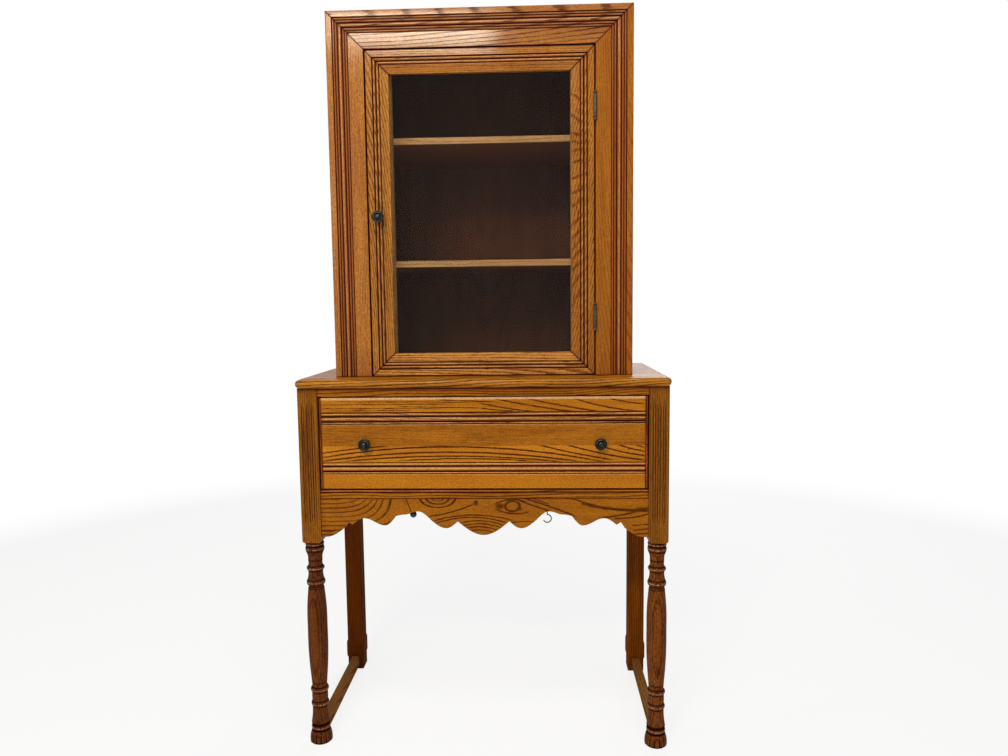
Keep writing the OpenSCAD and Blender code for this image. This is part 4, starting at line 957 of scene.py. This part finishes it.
# the back boards are dark brown, their own colour darkened by painted shade to stand in for the shade inside
# the case
backLook = {"light": (76, 50, 29), "mid": (61, 39, 22), "dark": (40, 25, 14), "gloss": 0.6, "shine": 0.1,
            "ringShade": 0.3, "coat": 0.0}
boards = [  # piece, node, grain, look, pith
    ("case_side_left", "left_case_side", "y", panelLook, (720, -380)),
    ("case_side_right", "right_case_side", "y", panelLook, (720, 380)),
    ("upper_side_left", "left_upper_side", "z", panelLook, (60, -420)),
    ("upper_side_right", "right_upper_side", "z", panelLook, (60, -420)),
    ("upper_case_top", "upper_top_panel", "x", panelLook, (1640, 60)),
    ("upper_case_floor", "upper_bottom_panel", "x", insideLook, (960, 60)),
    ("shelf_upper", "upper_shelf", "x", insideLook, (1300, 40)),
    ("shelf_lower", "lower_shelf", "x", insideLook, (1020, 40)),
    ("upper_case_back", "upper_back", "z", backLook, (0, 60)),
    ("case_back_panel", "case_back", "x", backLook, (700, 60)),
]
# the shelves get painted shade on their undersides
for index, (name, node, grain, look, pith) in enumerate(boards):
    board(name, node, oak(name, **{**look, "grain": grain, "pith": pith, "seed": 30 + index}),
          paintedUnderShade=0.7 if name.startswith("shelf") else 0.0)

# Everything that isn't rebuilt keeps its own shape and gets a finish

plainOak = oak("plain", grain="z", seed=20)
finishes = {
    "oak": plainOak,
    "oak_dark": plainOak,
    "oak_inside": oak("inside", grain="y", seed=21, **insideLook),
    "back_board": oak("back board", grain="z", seed=23, **backLook),
    "pane": paneGlass(),
    "bronze": bronze,
    "steel": metal("steel", (0.06, 0.064, 0.075, 1), (0.04, 0.042, 0.05, 1), 0.22),
    "black_plastic": metal("black plastic", (0.012, 0.012, 0.013, 1), (0.02, 0.02, 0.022, 1), 0.12, 0.0),
}
hingeBronze = metal("hinge bronze", (0.06, 0.042, 0.024, 1), (0.11, 0.08, 0.047, 1), 0.3)
beadStrip = oak("bead strips", grain="z", seed=24, light=(164, 88, 40), mid=(100, 46, 20), flecks=0.9)
for name, node in frame["nodes"].items():
    usual = hingeBronze if "hinge" in name else finishes[slots[name]]
    node.data.materials.clear()
    node.data.materials.append(beadStrip if name == "drawer_end_beads" else usual)

print("stage, lights and camera")

stage = {
    "floor": 60.0,      # half of its side, in metres
    "floorTone": 0.9,
    "lift": 0.82,       # share of white in the floor close by
    "fadeFrom": 0.8,    # and from where to where it turns all white
    "fadeTo": 3.2,
    "dim": 0.27,        # what the white room gives as light
}


def seenRay(start):  # 1 for the rays that show the background: straight, in gloss and through glass
    path = start.node("LightPath", output="Is Camera Ray")
    return start.maths("MINIMUM", path + path.other("Is Glossy Ray") + path.other("Is Transmission Ray"), 1.0)


def floorMaterial():  # pale and matt, turning to plain white away from the cabinet
    material, start = newMaterial("pale floor")
    point = start.node("NewGeometry", output="Position")
    x = start.node("SeparateXYZ", None, {0: point})
    y = x.other(1)
    away = (x * x + y * y) ** 0.5
    matt = start.node("BsdfDiffuse", None, {"Color": (*[stage["floorTone"]] * 3, 1)})
    white = start.node("Emission", None, {"Color": (1, 1, 1, 1)})
    far = away.step(stage["fadeFrom"], stage["fadeTo"])
    share = seenRay(start) * start.maths("MAXIMUM", far, stage["lift"])
    finish(start, start.node("MixShader", None, {0: share, 1: matt, 2: white}))
    return material


span = stage["floor"]
mesh = bpy.data.meshes.new("floor")
mesh.from_pydata([(-span, -span, 0), (span, -span, 0), (span, span, 0), (-span, span, 0)], [], [(0, 1, 2, 3)])
mesh.materials.append(floorMaterial())
made = place("floor", mesh)

lamps = [  # name, origin, target, size, power, colour
    ("ceiling lamp", (-0.66, -3.0, 2.68), (-0.1, -0.14, 1.3), (1.1, 0.22), 46, (1, 0.92, 0.72)),
    ("overhead lamp", (0.1, -1.5, 3.3), (0.0, -0.3, 0.9), (1.6, 0.6), 31, (1, 1, 1)),
    ("left window", (-1.35, -3.0, 1.7), (-0.2, -0.14, 1.2), (0.5, 1.5), 6, (1, 1, 1)),
    ("side lamp", (-2.7, -1.3, 1.5), (0, -0.14, 1.1), (0.4, 1.6), 9, (1, 1, 1)),
    ("right fill", (2.6, -2.8, 1.0), (0, -0.14, 0.6), (1.6, 1.6), 7, (1, 1, 1)),
    ("back fill", (0.6, 3.2, 2.2), (0, 0.2, 0.8), (1.6, 1.2), 40, (1, 1, 1))]
for name, origin, target, size, power, colour in lamps:
    light = bpy.data.lights.new(name, "AREA")
    light.shape = "RECTANGLE"
    light.size, light.size_y = size
    light.energy = power
    light.color = colour
    made = place(name, light)
    made.location = origin
    made.rotation_euler = (Vector(target) - Vector(origin)).to_track_quat("-Z", "Y").to_euler()

world = bpy.data.worlds.new("studio")
scene.world = world
world.use_nodes = True
world.node_tree.nodes.clear()
sky = Wire(world.node_tree)
level = stage["dim"] + (1 - stage["dim"]) * seenRay(sky)
lit = sky.node("Background", None, {"Color": (1, 1, 1, 1), "Strength": level})
finish(sky, lit, "World")

viewpoint = {"origin": (0.1202, -1.8931, 1.0343), "turn": 0.0408, "tilt": -0.0944, "roll": -0.0114,
             "focal": 756.73, "width": 1008, "film": 36}  # focal length and width in pixels of the photo


def makeCamera():
    turn, tilt, roll = viewpoint["turn"], viewpoint["tilt"], viewpoint["roll"]
    level = Vector((math.cos(turn), math.sin(turn), 0))
    ahead = Vector((-math.sin(turn), math.cos(turn), 0))
    look = ahead * math.cos(tilt) + Vector(up) * math.sin(tilt)
    top = Vector(up) * math.cos(tilt) - ahead * math.sin(tilt)
    side = level * math.cos(roll) + top * math.sin(roll)
    top = top * math.cos(roll) - level * math.sin(roll)
    lens = bpy.data.cameras.new("camera")
    lens.sensor_width = viewpoint["film"]
    lens.lens = viewpoint["focal"] / viewpoint["width"] * lens.sensor_width
    made = place("camera", lens)
    facing = Matrix((side, top, -look)).transposed().to_4x4()
    made.matrix_world = Matrix.Translation(viewpoint["origin"]) @ facing
    scene.camera = made


makeCamera()
scene.view_settings.view_transform = "Standard"
